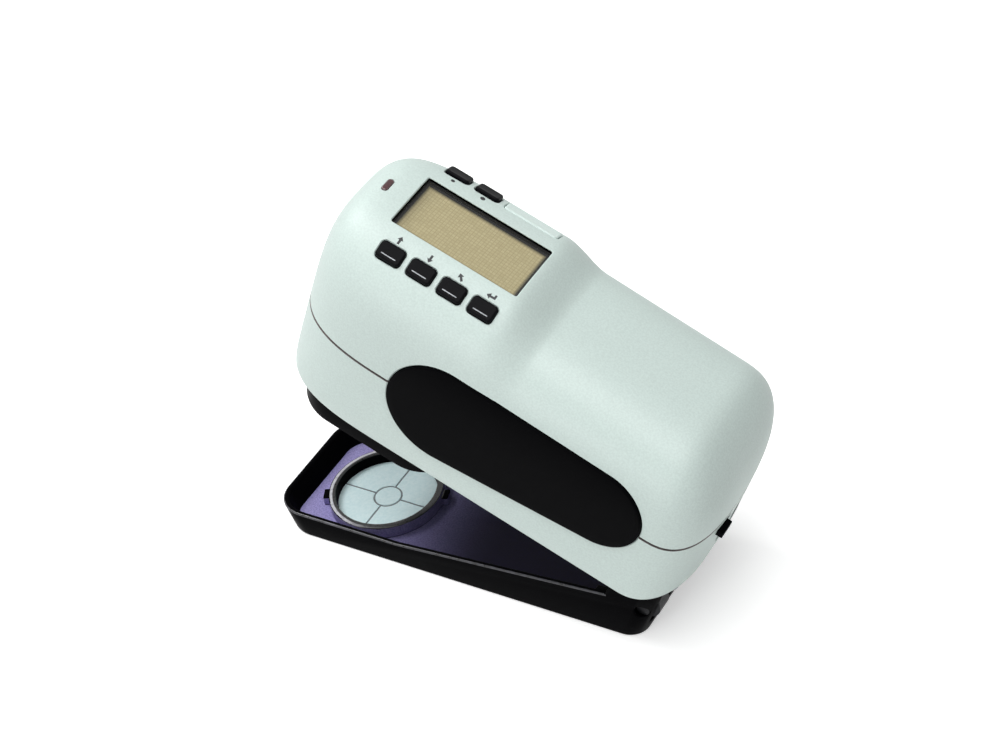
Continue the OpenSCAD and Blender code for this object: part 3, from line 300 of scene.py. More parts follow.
# Feet
# Four round rubber pads pressed into pockets under the shoe, flush with its underside.
# They are cut from black sheet rubber, matte and slightly dusty.
def eased(name, node, width, finish, body, slot):
    """A piece in place of a CAD node, with the node's form and rounded edges."""
    settle(piece_from(name, softened(node, width), [finish]), body, slot, node)


foot_rubber = grained("sheet_rubber", "#131314", "#1c1c1d", 0.5 * mm, 0.03 * mm, (0.75, 0.9))
eased("rubber_feet", "shoe_feet", 0.3 * mm, foot_rubber, "shoe", "grip_rubber")

# Target ring
# A black moulded ring that is bonded to the floor of the shoe and holds the target disc.
# Two small tabs key it in place. Its rim is rounded, with a painted highlight along its front edge, and its
# outer wall has the floor's spark texture and its painted light and shade.
ring_low, ring_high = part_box("target_ring")
ring_centre = (ring_low + ring_high) / 2
ring_r = (ring_high.y - ring_low.y) / 2
rim_line, rim_line_fade = 1.1 * mm, 0.3 * mm
ring_form = softened("target_ring", 0.5 * mm, 1)
ring_form.normal_update()
# The rim's top takes the painted highlight, and the outer wall takes the floor's finish with its painted light
# and shade.
for face in ring_form.faces:
    outward = face.calc_center_median().xy - ring_centre.xy
    if face.normal.z > 0.1 and outward.length < ring_r:
        face.material_index = 1
    elif abs(face.normal.z) < 0.1 and face.normal.xy.dot(outward) > 0:
        face.material_index = 2
    else:
        face.material_index = 0
# A painted highlight: a pale grey line along the outer edge of the rim at the front, fading to black towards
# the rear and inward.
ring_rim_highlight = grained("ring_rim_painted_highlight", "#b9b9c0", "#d6d6dc", 2 * mm, 0.005 * mm, (0.25, 0.35))
faded(ring_rim_highlight, ring_centre.x - 0.4 * ring_r, ring_centre.x + 0.3 * ring_r, "#08080a")
faded(ring_rim_highlight, ring_r - rim_line, ring_r - rim_line - rim_line_fade, "#08080a", ring_centre)
ring = piece_from("target_holder", ring_form, [black_abs, ring_rim_highlight, floor_painted_light])
settle(ring, "shoe", "black_plastic", "target_ring")


# Target disc
# A pale pressed plastic disc in the ring, with four raised quarters around a raised centre spot.
# The grooves between them lie along and across the shoe, and show as thin grey lines.
def loft(rings, form=None):
    """A closed solid through rings of equally many points, with flat ends."""
    form = form or bmesh.new()
    rows = [[form.verts.new(point) for point in points] for points in rings]
    count = len(rows[0])
    faces = [form.faces.new(rows[0]), form.faces.new(rows[-1])]
    for lower, upper in zip(rows, rows[1:]):
        for k in range(count):
            near, next_one = k, (k + 1) % count
            faces.append(form.faces.new((lower[near], lower[next_one], upper[next_one], upper[near])))
    bmesh.ops.recalc_face_normals(form, faces=faces)
    form.normal_update()
    if sum(f.calc_area() * f.normal.dot(f.calc_center_median()) for f in faces) < 0:
        bmesh.ops.reverse_faces(form, faces=faces)
    return form


def circle(radius, count, centre=(0, 0)):
    """Points of a circle, anticlockwise."""
    turns = [2 * math.pi * k / count for k in range(count)]
    return [(centre[0] + radius * math.cos(t), centre[1] + radius * math.sin(t)) for t in turns]


def at_height(points, z):
    """Flat points lifted to a height."""
    return [(x, y, z) for x, y in points]


disc_low, disc_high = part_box("target_disc")
disc_centre = (disc_low + disc_high) / 2
disc_r = (disc_high.x - disc_low.x) / 2
disc_margin = 0.3 * mm
groove_depth, groove_width = 0.3 * mm, 0.8 * mm
spot_r = 5.9 * mm
edge_round = 0.12 * mm
tile_sink = 0.1 * mm
disc_steps = 24


def quarter(start, shrink):
    """Outline of one raised quarter, drawn in by shrink, with its edges half a groove off the cross lines."""
    off = groove_width / 2 + shrink
    outer, inner = disc_r - disc_margin - shrink, spot_r + groove_width + shrink
    points = []
    for radius, order in ((outer, range(disc_steps + 1)), (inner, range(disc_steps, -1, -1))):
        spare = math.asin(off / radius)
        for k in order:
            turn = start + spare + (math.pi / 2 - 2 * spare) * k / disc_steps
            points.append((disc_centre.x + radius * math.cos(turn), disc_centre.y + radius * math.sin(turn)))
    return points


tile_top = disc_high.z
tile_root = tile_top - groove_depth
disc_form = loft([at_height(circle(disc_r, 96, disc_centre.xy), z) for z in (disc_low.z, tile_root)])
for face in disc_form.faces:
    face.material_index = 1
tile_levels = ((0, tile_root - tile_sink), (0, tile_top - edge_round), (edge_round, tile_top))
for turn in range(4):
    loft([at_height(quarter(turn * math.pi / 2, shrink), z) for shrink, z in tile_levels], disc_form)
loft([at_height(circle(spot_r - shrink, 64, disc_centre.xy), z) for shrink, z in tile_levels], disc_form)
# Pressed white styrene: a cool pale face with a soft sheen and a faint mottle.
tile_white = grained("pressed_pale_styrene", "#dbf5f8", "#e6fcfe", 1.2 * mm, 0.01 * mm, (0.4, 0.5))
# The grooves' floors are coloured dull grey, darker than the raised quarters.
groove_grey = grained("dull_grey_groove", "#6d7478", "#80878a", 0.5 * mm, 0.01 * mm, (0.6, 0.7))
disc = piece_from("target_tile", disc_form, [tile_white, groove_grey])
settle(disc, "shoe", "target_tile", "target_disc")

# Hinge pin and bracket
# A ground steel pin runs through the ears of the shoe and the lugs of a pressed steel bracket under the tail.
# Both are blackened in an oxide bath, so they look dark from every side.
black_oxide = grained("black_oxide_steel", "#101113", "#1b1c1f", 0.8 * mm, 0.004 * mm, (0.35, 0.5),
                      {"Metallic": 0.8})


def dressed(finish, *nodes):
    """Gives CAD nodes that stay as they are their finish."""
    for node in nodes:
        frame["nodes"][node].data.materials.clear()
        frame["nodes"][node].data.materials.append(finish)


dressed(black_oxide, "hinge_pin", "hinge_bracket")


# Bracket screws
# Two socket screws hold the bracket up against the lower case. They are cold formed from steel wire, with a
# hexagon socket and an eased edge on the head, and zinc plated.
def islands(node):
    """The separate solids of a CAD node, each as a list of its points."""
    form = merged(node)
    seen = set()
    solids = []
    for first in form.verts:
        if first in seen:
            continue
        seen.add(first)
        waiting = [first]
        solid = []
        while waiting:
            vert = waiting.pop()
            solid.append(vert.co.copy())
            for other in [edge.other_vert(vert) for edge in vert.link_edges]:
                if other not in seen:
                    seen.add(other)
                    waiting.append(other)
        solids.append(solid)
    form.free()
    return solids


def started(name, result, **inputs):
    """A new geometry node tree with its named inputs and result, and the outputs of its first node."""
    tree = bpy.data.node_groups.new(name, "GeometryNodeTree")
    for label, kind in inputs.items():
        tree.interface.new_socket(label, in_out="INPUT", socket_type="NodeSocket" + kind)
    tree.interface.new_socket(result, in_out="OUTPUT", socket_type="NodeSocketGeometry")
    return tree, add(tree, "NodeGroupInput").outputs


def ended(tree, geometry, finish):
    """Ends a node tree: its instances are made real and get their finish."""
    real = add(tree, "GeometryNodeRealizeInstances", {"Geometry": geometry})
    done = add(tree, "GeometryNodeSetMaterial", {"Geometry": real.outputs[0], "Material": finish})
    add(tree, "NodeGroupOutput", {0: done.outputs[0]})


def baked(piece):
    """Makes the result of a piece's modifiers its plain mesh."""
    result = bpy.data.meshes.new_from_object(piece.evaluated_get(bpy.context.evaluated_depsgraph_get()))
    piece.modifiers.clear()
    piece.data = result


def grown(piece, tree, **values):
    """Runs a node tree on a piece, with its named inputs, and keeps the result as a plain mesh."""
    modifier = piece.modifiers.new(tree.name, "NODES")
    modifier.node_group = tree
    for label, value in values.items():
        modifier[tree.interface.items_tree[label].identifier] = value
    baked(piece)


set_out, set_in = started("set_out", "Pieces", Spots="Geometry", Piece="Object", Turn="Rotation",
                          Finish="Material")
set_form = add(set_out, "GeometryNodeObjectInfo", {"Object": set_in["Piece"]})
set_laid = add(set_out, "GeometryNodeInstanceOnPoints", {
    "Points": set_in["Spots"], "Instance": set_form.outputs["Geometry"], "Rotation": set_in["Turn"]})
ended(set_out, set_laid.outputs[0], set_in["Finish"])
screw_sides = 36


def screws(name, node, turn, shank_r, length, head_r, head_h):
    """Socket screws in place of a CAD node's, with their heads towards -Z of the given turn."""
    spots = []
    for solid in islands(node):
        points = [turn.inverted() @ point for point in solid]
        middle = [(min(p[k] for p in points) + max(p[k] for p in points)) / 2 for k in (0, 1)]
        spots.append(turn @ Vector((*middle, min(p.z for p in points) + head_h)))
    # The tip is coned, the head's edge is eased, and the socket is half as wide as the head.
    tip = ((0.7 * shank_r, length), (shank_r, length - 0.4 * shank_r), (shank_r, 0))
    head = ((head_r, 0), (head_r, -0.8 * head_h), (0.86 * head_r, -head_h))
    rings = [at_height(circle(radius, screw_sides), z) for radius, z in tip + head]
    socket = []
    for k in range(screw_sides):
        angle = 2 * math.pi * k / screw_sides
        reach = 0.5 * head_r * math.cos(math.pi / 6) / math.cos(angle % (math.pi / 3) - math.pi / 6)
        socket.append((reach * math.cos(angle), reach * math.sin(angle)))
    rings += [at_height(socket, -head_h), at_height(socket, -0.4 * head_h)]
    single = piece_from("single_screw", loft(rings), [zinc_steel])
    group_mesh = bpy.data.meshes.new(name)
    group_mesh.from_pydata(spots, [], [])
    group = placed(name, group_mesh)
    grown(group, set_out, Piece=single, Turn=turn.to_euler(), Finish=zinc_steel)
    bpy.data.objects.remove(single)
    settle(group, "instrument", "steel", node)


# Zinc plate: a bright, slightly blue grey with a faint mottle from the bath.
zinc_steel = grained("zinc_plated_steel", "#9a9da2", "#b4b7bb", 0.8 * mm, 0.004 * mm, (0.26, 0.38),
                     {"Metallic": 1.0})
screws("bracket_bolts", "bracket_screws", Matrix.Identity(4), 1.45 * mm, 7.4 * mm, 2.8 * mm, 2 * mm)

# Return spring
# A coil of drawn steel wire around the hinge pin, which springs the instrument open. One leg lies on the floor
# of the shoe, and the other stands up to the bracket.
hinge = next(j for j in frame["joints"] if j["name"] == "body_hinge")
hinge_point = Vector(hinge["pos_m"])
wire_r, wire_sides = 0.9 * mm, 12
coil_r, coil_width = 6 * mm, 22 * mm
coil_turns, coil_steps = 6.25, 24
leg_reach, leg_gap, leg_drop = 18 * mm, 0.3 * mm, 3.3 * mm
leg_foot_z = shoe_floor_z + wire_r + leg_gap
leg_top_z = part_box("hinge_bracket")[1].z - leg_drop


def coil_point(turn):
    """A point of the coil, which starts under the pin and ends behind it."""
    angle = 2 * math.pi * turn - math.pi / 2
    return hinge_point + Vector((coil_r * math.cos(angle), coil_width * (turn / coil_turns - 0.5),
                                 coil_r * math.sin(angle)))


wire_path = [hinge_point + Vector((-leg_reach, -coil_width / 2, leg_foot_z - hinge_point.z)),
             hinge_point + Vector((-leg_reach / 2, -coil_width / 2, -coil_r))]
wire_path += [coil_point(k / coil_steps) for k in range(int(coil_turns * coil_steps) + 1)]
wire_path.append(hinge_point + Vector((coil_r, coil_width / 2, leg_top_z - hinge_point.z)))
wire_mesh = bpy.data.meshes.new("spring_line")
wire_mesh.from_pydata(wire_path, [(k, k + 1) for k in range(len(wire_path) - 1)], [])
spring = placed("hinge_spring", wire_mesh)
# Drawn spring wire: bright grey, with a faint mottle of oil on it.
spring_wire = grained("drawn_spring_wire", "#7d8086", "#a3a6ab", 0.6 * mm, 0.005 * mm, (0.25, 0.4),
                      {"Metallic": 1.0})
wound, wound_in = started("wound_wire", "Wire", Line="Geometry", Radius="Float", Sides="Int",
                          Finish="Material")
wound_line = add(wound, "GeometryNodeMeshToCurve", {"Mesh": wound_in["Line"]})
wound_section = add(wound, "GeometryNodeCurvePrimitiveCircle", {
    "Radius": wound_in["Radius"], "Resolution": wound_in["Sides"]})
wound_tube = add(wound, "GeometryNodeCurveToMesh", {
    "Curve": wound_line.outputs[0], "Profile Curve": wound_section.outputs[0], "Fill Caps": True})
wound_smooth = add(wound, "GeometryNodeSetShadeSmooth", {"Geometry": wound_tube.outputs[0]})
ended(wound, wound_smooth.outputs[0], wound_in["Finish"])
grown(spring, wound, Radius=wire_r, Sides=wire_sides, Finish=spring_wire)
settle(spring, "shoe", "steel", "return_spring")

# Lower case
# The lower half of the instrument's shell, moulded in pale ABS to the same plan as the upper half.
# It has openings for the nose, the battery cover and the rear sockets, and columns inside for the screws.
# The whole body is drawn closed and then turned open about the hinge pin.
opened = (Matrix.Translation(hinge_point) @ Matrix.Rotation(math.radians(hinge["range_deg"][1]), 4, "Y")
          @ Matrix.Translation(-hinge_point))
closed = opened.inverted()
body_length = 195 * mm
body_width = 84 * mm
body_height = 103.5 * mm
parting_height = 48 * mm
deck_height = 96 * mm
deck_fall = 4.5 * mm
case_wall = 2.4 * mm
body_rear = hinge_point.x + 11.5 * mm
body_front = body_rear - body_length
body_bottom = 25.7 * mm
floor_z = body_bottom + case_wall
parting_z = body_bottom + parting_height
nose_run, brow_run, chin_run = 54 * mm, 26 * mm, 12 * mm
tail_run, tail_top_run, heel_run = 23 * mm, 27 * mm, 12 * mm
plan_power, brow_power, chin_power = 3.1, 4, 5
tail_plan_power, tail_power = 2.7, 2.3
shoulder_power, sill_power = 3.3, 8
step_start, step_run = 82 * mm, 21 * mm
seam_edge, seam_share, seam_lean, seam_lift = 0.7 * mm, 0.04, 1.5, 0.35
skin_steps, nose_steps, middle_steps, step_steps, deck_steps, tail_steps = 72, 48, 6, 16, 12, 40
tip_share, nose_crowding, tail_crowding = 0.3, 2.6, 2.4


def round_end(share, power):
    """How full the form is at a share of its rounded end, from one at the start to zero at the tip."""
    return 1.0 if share <= 0 else max(0.0, 1 - min(share, 1) ** power) ** (1 / power)


def ends(x, inset, front_run, front_power, rear_run, rear_power):
    """The rounding of both ends of the body at x."""
    return (round_end((body_front + inset + front_run - x) / front_run, front_power)
            * round_end((x - body_rear + inset + rear_run) / rear_run, rear_power))


def half_width(x, inset):
    """Half the width of the body at x."""
    return (body_width / 2 - inset) * ends(x, inset, nose_run, plan_power, tail_run, tail_plan_power)


def top_line(x):
    """Height of the body's top at x, over the head, the soft step behind it and the sloping rear deck."""
    past = x - body_front - step_start
    deck = deck_height - deck_fall * past / (body_length - step_start)
    share = min(1, max(0, past / step_run))
    return body_height - (body_height - deck) * share * share * (3 - 2 * share)


def crown(x, inset):
    """Height of the body above the parting line at x."""
    fullness = ends(x, inset, brow_run, brow_power, tail_top_run, tail_power)
    return (top_line(x) - parting_height - inset) * fullness


def keel(x, inset):
    """Depth of the body below the parting line at x."""
    return (parting_height - inset) * ends(x, inset, chin_run, chin_power, heel_run, chin_power)


def shoulder(x, y):
    """Height of the upper skin over a point."""
    share = min(1, abs(y) / half_width(x, 0))
    return parting_z + crown(x, 0) * (1 - share ** shoulder_power) ** (1 / shoulder_power)


def stations(inset):
    """Places along the body where a section is drawn, close together at the rounded ends."""
    front, rear = body_front + inset, body_rear - inset
    nose = [front + nose_run * ((k + tip_share) / nose_steps) ** nose_crowding for k in range(nose_steps)]
    middle_run = body_front + step_start - front - nose_run
    middle = [front + nose_run + middle_run * k / middle_steps for k in range(middle_steps)]
    step = [body_front + step_start + step_run * k / step_steps for k in range(step_steps + 1)]
    deck_end = rear - tail_top_run
    deck = [step[-1] + (deck_end - step[-1]) * k / deck_steps for k in range(1, deck_steps)]
    tail = [rear - tail_top_run * ((k + tip_share) / tail_steps) ** tail_crowding for k in range(tail_steps)]
    return nose + middle + step + deck + [deck_end] + tail[::-1]


def half_section(x, inset, upper):
    """Points of the upper or lower half of a section, from the +Y side to the -Y side."""
    height, power, way = (crown, shoulder_power, 1) if upper else (keel, sill_power, -1)
    wide, tall = half_width(x, inset), height(x, inset)
    points = []
    for k in range(skin_steps + 1):
        angle = math.pi * k / skin_steps
        side, rise = math.cos(angle), math.sin(angle)
        points.append((x, wide * math.copysign(abs(side) ** (2 / power), side),
                       parting_z + way * tall * abs(rise) ** (2 / power)))
    return points


def half_shell(upper):
    """One half of the solid body, with a small chamfer along its parting edge."""
    rings = []
    for x in stations(0):
        points = half_section(x, 0, upper)
        wide = points[0][1]
        tall = abs(points[skin_steps // 2][2] - parting_z)
        edge = min(seam_edge, seam_share * wide, seam_share * tall)
        way = edge if upper else -edge
        inner, inner_z, outer_z = wide - seam_lean * edge, parting_z + seam_lift * way, parting_z + way
        rings.append([(x, inner, inner_z), (x, wide, outer_z)] + points[1:-1]
                     + [(x, -wide, outer_z), (x, -inner, inner_z)])
    return loft(rings)


def whole_skin(inset):
    """The whole body form, moved in by inset."""
    return loft([half_section(x, inset, True) + half_section(x, inset, False)[-2:0:-1]
                 for x in stations(inset)])


def carved(form, cutters):
    """A form with each of the cutters taken out of it in turn."""
    piece = piece_from("work", form, [])
    for cutter_form in cutters:
        cutter = piece_from("cutter", cutter_form, [])
        modifier = piece.modifiers.new("carve", "BOOLEAN")
        modifier.operation = "DIFFERENCE"
        modifier.solver = "EXACT"
        modifier.object = cutter
        baked(piece)
        bpy.data.objects.remove(cutter)
    done = bmesh.new()
    done.from_mesh(piece.data)
    bpy.data.objects.remove(piece)
    return done


def block(low, high, form=None):
    """A box between two corners."""
    plan = [(low[0], low[1]), (high[0], low[1]), (high[0], high[1]), (low[0], high[1])]
    return loft([at_height(plan, low[2]), at_height(plan, high[2])], form)


def rods(spots, levels, form=None):
    """Upright round rods at some spots, stepped through pairs of a radius and a height."""
    for spot in spots:
        form = loft([at_height(circle(radius, 32, spot), z) for radius, z in levels], form)
    return form


relief_front, relief_reach, relief_height = 60 * mm, 80 * mm, 17.1 * mm


def relief(wall):
    """The space under the tail that lets the body stand open."""
    form = block((hinge_point.x - relief_front, -relief_reach, -relief_reach),
                 (hinge_point.x + relief_reach, relief_reach, hinge_point.z + relief_height + wall))
    form.transform(closed)
    return form


cut_spare = 1 * mm
front_setback, front_inset, rear_setback, rear_inset = 9.5 * mm, 16 * mm, 22 * mm, 7.2 * mm
column_spots = [(x, side * (body_width / 2 - inset)) for x, inset in (
    (body_front + front_setback, front_inset), (body_rear - rear_setback, rear_inset)) for side in (-1, 1)]
column_r, column_sink_r, column_hole_r = 4.2 * mm, 3.1 * mm, 1.6 * mm
screw_grip, screw_length = 4 * mm, 12 * mm
aperture_x = disc_centre.x
nose_hole_r = 24.8 * mm
cover_x, cover_step = 27.2 * mm, 1.2 * mm
cover_size = (42.8 * mm, 46.4 * mm)
cover_rim_size = (59.8 * mm, 50.4 * mm)
boss_r, boss_hole_r, boss_height, boss_reach = 2.6 * mm, 1.3 * mm, 5 * mm, 26.7 * mm
boss_spots = [(cover_x + side * boss_reach, 0) for side in (-1, 1)]
ledge_front, ledge_rear = body_rear - 28 * mm, body_rear - 8 * mm
ledge_y, ledge_low, ledge_high = 25 * mm, 45.7 * mm, 49.7 * mm
socket_front, socket_rear = body_rear - 12 * mm, body_rear + 9 * mm
port_y, port_half, port_low, port_high = 10 * mm, 6.8 * mm, 51.1 * mm, 63.7 * mm
jack_y, jack_z, jack_r = -4 * mm, 56.4 * mm, 4.8 * mm
switch_y, switch_z, switch_half, switch_half_h = -9 * mm, 67.7 * mm, 6.3 * mm, 2.2 * mm


def rectangle(size, centre_x):
    """A rectangle about the middle line of the body."""
    return [(centre_x + sx * size[0] / 2, sy * size[1] / 2) for sx, sy in corner_ways]


columns = rods(column_spots, [(column_r, 0), (column_r, parting_z + cut_spare)])
bosses = rods(boss_spots, [(boss_r, 0), (boss_r, floor_z + boss_height)])
ledges = None
for start_y, end_y in ((-body_width, -ledge_y), (ledge_y, body_width)):
    ledges = block((ledge_front, start_y, ledge_low), (ledge_rear, end_y, ledge_high), ledges)
lower_hollow = carved(whole_skin(case_wall), [relief(case_wall), columns, bosses, ledges])
lower_cuts = loft([at_height(circle(nose_hole_r, 96, (aperture_x, 0)), z) for z in (0, floor_z + cut_spare)])
loft([at_height(rectangle(size, cover_x), z) for size, z in (
    (cover_rim_size, 0), (cover_rim_size, body_bottom + cover_step), (cover_size, body_bottom + cover_step),
    (cover_size, floor_z + cut_spare))], lower_cuts)
rods(column_spots, [(column_sink_r, 0), (column_sink_r, parting_z - screw_grip),
                    (column_hole_r, parting_z - screw_grip), (column_hole_r, parting_z + cut_spare)],
     lower_cuts)
boss_holes = rods(boss_spots, [(boss_hole_r, body_bottom), (boss_hole_r, floor_z + boss_height + cut_spare)])
block((socket_front, port_y - port_half, port_low), (socket_rear, port_y + port_half, port_high), lower_cuts)
block((socket_front, switch_y - switch_half, switch_z - switch_half_h),
      (socket_rear, switch_y + switch_half, switch_z + switch_half_h), lower_cuts)
loft([[(x, jack_y + u, jack_z + v) for u, v in circle(jack_r, 48)] for x in (socket_front, socket_rear)],
     lower_cuts)
grip_front = Vector((body_front + 78 * mm, -1.6 * mm))
grip_rear = grip_front + Vector((72 * mm, 3.2 * mm))
grip_front_r, grip_rear_r = 25.5 * mm, 20.5 * mm
rear_steps, front_steps, side_steps = 40, 56, 16


def lozenge(levels, side):
    """Rings of a side grip's form over the flank, each from its shrink, its border and its height."""
    reach = grip_rear - grip_front
    slope = math.atan2(reach.y, reach.x)
    turn = math.acos((grip_front_r - grip_rear_r) / reach.length)
    spots = []
    for start, start_r, end, end_r, way, sweep, steps in (
            (grip_rear, grip_rear_r, grip_front, grip_front_r, -turn, 2 * turn, rear_steps),
            (grip_front, grip_front_r, grip_rear, grip_rear_r, turn, 2 * math.pi - 2 * turn, front_steps)):
        for k in range(steps + 1):
            spots.append((start, start_r, slope + way + sweep * k / steps))
        for share in [k / side_steps for k in range(1, side_steps)]:
            spots.append((start + (end - start) * share, start_r + (end_r - start_r) * share, slope - way))
    upper = (deck_height - deck_fall / 2 - parting_height, shoulder_power)
    lower = (parting_height, sill_power)
    rings = []
    for shrink, border, height in levels:
        ring = []
        for centre, radius, angle in spots:
            spot = centre + (radius * (1 - shrink) + border) * Vector((math.cos(angle), math.sin(angle)))
            tall, power = upper if spot.y > 0 else lower
            flank = body_width / 2 * (1 - (abs(spot.y) / tall) ** power) ** (1 / power)
            ring.append((spot.x, side * (flank + height), parting_z + spot.y))
        rings.append(ring)
    return rings


recess_depth, recess_play, recess_edge, recess_spare = 1 * mm, 0.2 * mm, 0.35 * mm, 4 * mm
recess_wide = recess_play + 2 * recess_edge


def grip_recesses():
    """Cutters for the two shallow recesses of the side grips, with a fine chamfer at the case's surface."""
    levels = [(0.96, 0, -recess_depth), (0.5, 0, -recess_depth), (0, recess_play, -recess_depth),
              (0, recess_play, -recess_edge), (0, recess_wide, recess_edge), (0, recess_wide, recess_spare),
              (0.96, 0, recess_spare)]
    return loft(lozenge(levels, 1), loft(lozenge(levels, -1)))


lower_form = carved(half_shell(False), [relief(0), lower_hollow, grip_recesses(), lower_cuts, boss_holes])
# Pale ABS with a fine spark texture: satin, cool grey-green, with no sharp highlight.
# The real texture is about 0.2 mm and is drawn at 0.8 mm, so that it shows.
pale_abs = grained("textured_pale_abs", "#c3d2cd", "#ccdbd6", 0.8 * mm, 0.03 * mm, (0.42, 0.55))
# The seam between the halves is coloured grey-brown: painted shade in the seam, with the dust and skin oil
# that settle there.
seam_shade_and_dust = grained("seam_painted_shade_and_dust", "#5c5453", "#6e6564", 1.5 * mm, 0.01 * mm, (0.7, 0.8))
seam_reach, seam_flat = 1.05 * seam_edge, 0.98
straight_angle = math.radians(3)


def case_half(name, form, node):
    """A half of the case from its closed form: cleaned, with painted shade and dust on its seam, and turned
    open.
    """
    bmesh.ops.remove_doubles(form, verts=form.verts, dist=weld_gap)
    straight = [v for v in form.verts if len(v.link_edges) == 2 and v.calc_edge_angle(0) < straight_angle]
    bmesh.ops.dissolve_verts(form, verts=straight)
    form.normal_update()
    for face in form.faces:
        from_seam = max(abs(v.co.z - parting_z) for v in face.verts)
        if from_seam < seam_reach and abs(face.normal.z) < seam_flat:
            face.material_index = 1
    form.transform(opened)
    for vert in form.verts:
        vert.co.x = min(vert.co.x, cad_box[1][0])
    half = piece_from(name, form, [pale_abs, seam_shade_and_dust], 30)
    half.modifiers.new("shading", "WEIGHTED_NORMAL").keep_sharp = True
    baked(half)
    settle(half, "instrument", "case_plastic", node)


case_half("lower_shell", lower_form, "lower_case")

# Nose block and battery cover
# The black block under the measuring end and the pale cover over the cells, both moulded in ABS.
# Screws from below hold them to the lower case, and four in its columns join the two halves of the case.
eased("measuring_nose", "nose_block", 0.6 * mm, black_abs, "instrument", "black_plastic")
eased("battery_door", "battery_cover", 0.25 * mm, pale_abs, "instrument", "case_plastic")
screws("nose_bolts", "nose_screws", opened, 1.25 * mm, 15.6 * mm, 2.4 * mm, 1.8 * mm)
screws("cover_bolts", "cover_screws", opened, 1.2 * mm, 5.6 * mm, 2.2 * mm, 0.8 * mm)
screws("case_bolts", "case_screws", opened, 1.45 * mm, screw_length, 2.8 * mm, 2.2 * mm)

# Sphere and measuring ring
# The two halves of the integrating sphere and the ring at its port, machined and sprayed inside and out with
# a thick matte white coating, which scatters the light evenly.
white_coat = grained("sprayed_white_coating", "#e3e3dd", "#efefea", 0.6 * mm, 0.05 * mm, (0.85, 0.95))
dressed(white_coat, "sphere_lower", "sphere_upper", "aperture_ring")
head_up = opened @ Matrix.Rotation(math.pi, 4, "X")
screws("sphere_bolts", "sphere_screws", head_up, 1 * mm, 4 * mm, 1.6 * mm, 1.2 * mm)

# Optics plates, posts and lamp holder
# The chassis, the bridge over the sphere and their posts are milled from aluminium plate and bar.
# The cutter leaves fine lines along the plates, drawn 0.5 mm wide, which is coarser than real.
milled_aluminium = grained("milled_aluminium", "#a9acb1", "#c3c5c9", 0.5 * mm, 0.006 * mm, (0.3, 0.45),
                           {"Metallic": 1.0}, (0.08, 1, 1))
dressed(milled_aluminium, "optics_chassis", "chassis_posts", "optics_bridge", "bridge_pillars",
        "detector_posts", "lamp_holder")

# Filter wheel, filters, lens and lamp
# The wheel is turned aluminium, anodised dull black against stray light, on a motor in a plated can.
# The filters are glass with a coating that looks violet and green, and the lens and the bulb are clear glass.
black_anodised = grained("black_anodised_aluminium", "#0b0b0c", "#161618", 0.5 * mm, 0.006 * mm, (0.4, 0.55),
                         {"Metallic": 0.6})
filter_glass = grained("coated_filter_glass", "#b8a6cc", "#9fc4c8", 4 * mm, 0.0, (0.03, 0.06),
                       {"Alpha": 0.55})
clear_glass = grained("polished_glass", "#dfeaec", "#eef4f5", 3 * mm, 0.0, (0.02, 0.04), {"Alpha": 0.35})
dressed(black_anodised, "filter_wheel")
dressed(zinc_steel, "filter_motor")
dressed(filter_glass, "filters")
dressed(clear_glass, "pickup_lens", "lamp")

# Dark inner mouldings
# The battery tray, the key trays, the switch block and the pickup tube are moulded in dark grey nylon.
# Their surfaces are plain and slightly waxy.
grey_nylon = grained("moulded_grey_nylon", "#2a2a2e", "#35353a", 0.7 * mm, 0.02 * mm, (0.5, 0.6))
dressed(grey_nylon, "battery_tray", "keypad_tray_near", "keypad_tray_far", "switch_body", "pickup_tube")

# Cells and board posts
# The rechargeable cells lie in the tray in plain blue shrink sleeve, which has a soft sheen.
# The main board stands over them on posts turned from brass bar, with fine rings from the tool.
cell_sleeve = grained("blue_shrink_sleeve", "#1d3f78", "#274f8f", 2 * mm, 0.02 * mm, (0.25, 0.35))
turned_brass = grained("turned_brass", "#b39a52", "#cdb56d", 0.3 * mm, 0.005 * mm, (0.25, 0.35),
                       {"Metallic": 1.0}, (0.2, 0.2, 1))
dressed(cell_sleeve, "battery_cells")
dressed(turned_brass, "board_posts")

# Circuit boards and chips
# Glass-fibre boards under a green solder mask, which shows the copper lines below it as paler stripes,
# and chips moulded in dull black epoxy.
solder_mask, mask_tree = blank("green_solder_mask")
mask_place = add(mask_tree, "ShaderNodeTexCoord")
# The real lines are about 0.5 mm apart and are drawn 2.5 mm apart, so that they show.
track_pitch = 2.5 * mm
tracks = add(mask_tree, "ShaderNodeTexBrick", {
    "Vector": mask_place.outputs["Object"], "Color1": linear("#1c5a3c"), "Color2": linear("#174c33"),
    "Mortar": linear("#3a7d54"), "Scale": 1 / track_pitch, "Mortar Size": 0.12, "Brick Width": 3.0})
mask_bump = add(mask_tree, "ShaderNodeBump", {"Height": tracks.outputs["Fac"], "Distance": 0.03 * mm})
mask_shader = add(mask_tree, "ShaderNodeBsdfPrincipled", {
    "Base Color": tracks.outputs["Color"], "Roughness": 0.3, "Normal": mask_bump.outputs[0]})
add(mask_tree, "ShaderNodeOutputMaterial", {"Surface": mask_shader.outputs[0]})
chip_epoxy = grained("moulded_chip_epoxy", "#141416", "#1d1d20", 0.4 * mm, 0.01 * mm, (0.5, 0.65))
dressed(solder_mask, "display_board", "detector_board", "main_board", "io_board")
dressed(chip_epoxy, "board_chips")

# Rear sockets and power switch
# A data socket and a charger socket, moulded in black ABS, stand on the rear board and look out of the tail.
# The slide switch over them has a moulded black knob with rounded edges.
socket_inset = 0.8 * mm


def sunk(form):
    """A socket's form with its face held inside the curved tail."""
    form.transform(closed)
    for vert in form.verts:
        vert.co.x = min(vert.co.x, body_rear - socket_inset)
    form.transform(opened)
    return form


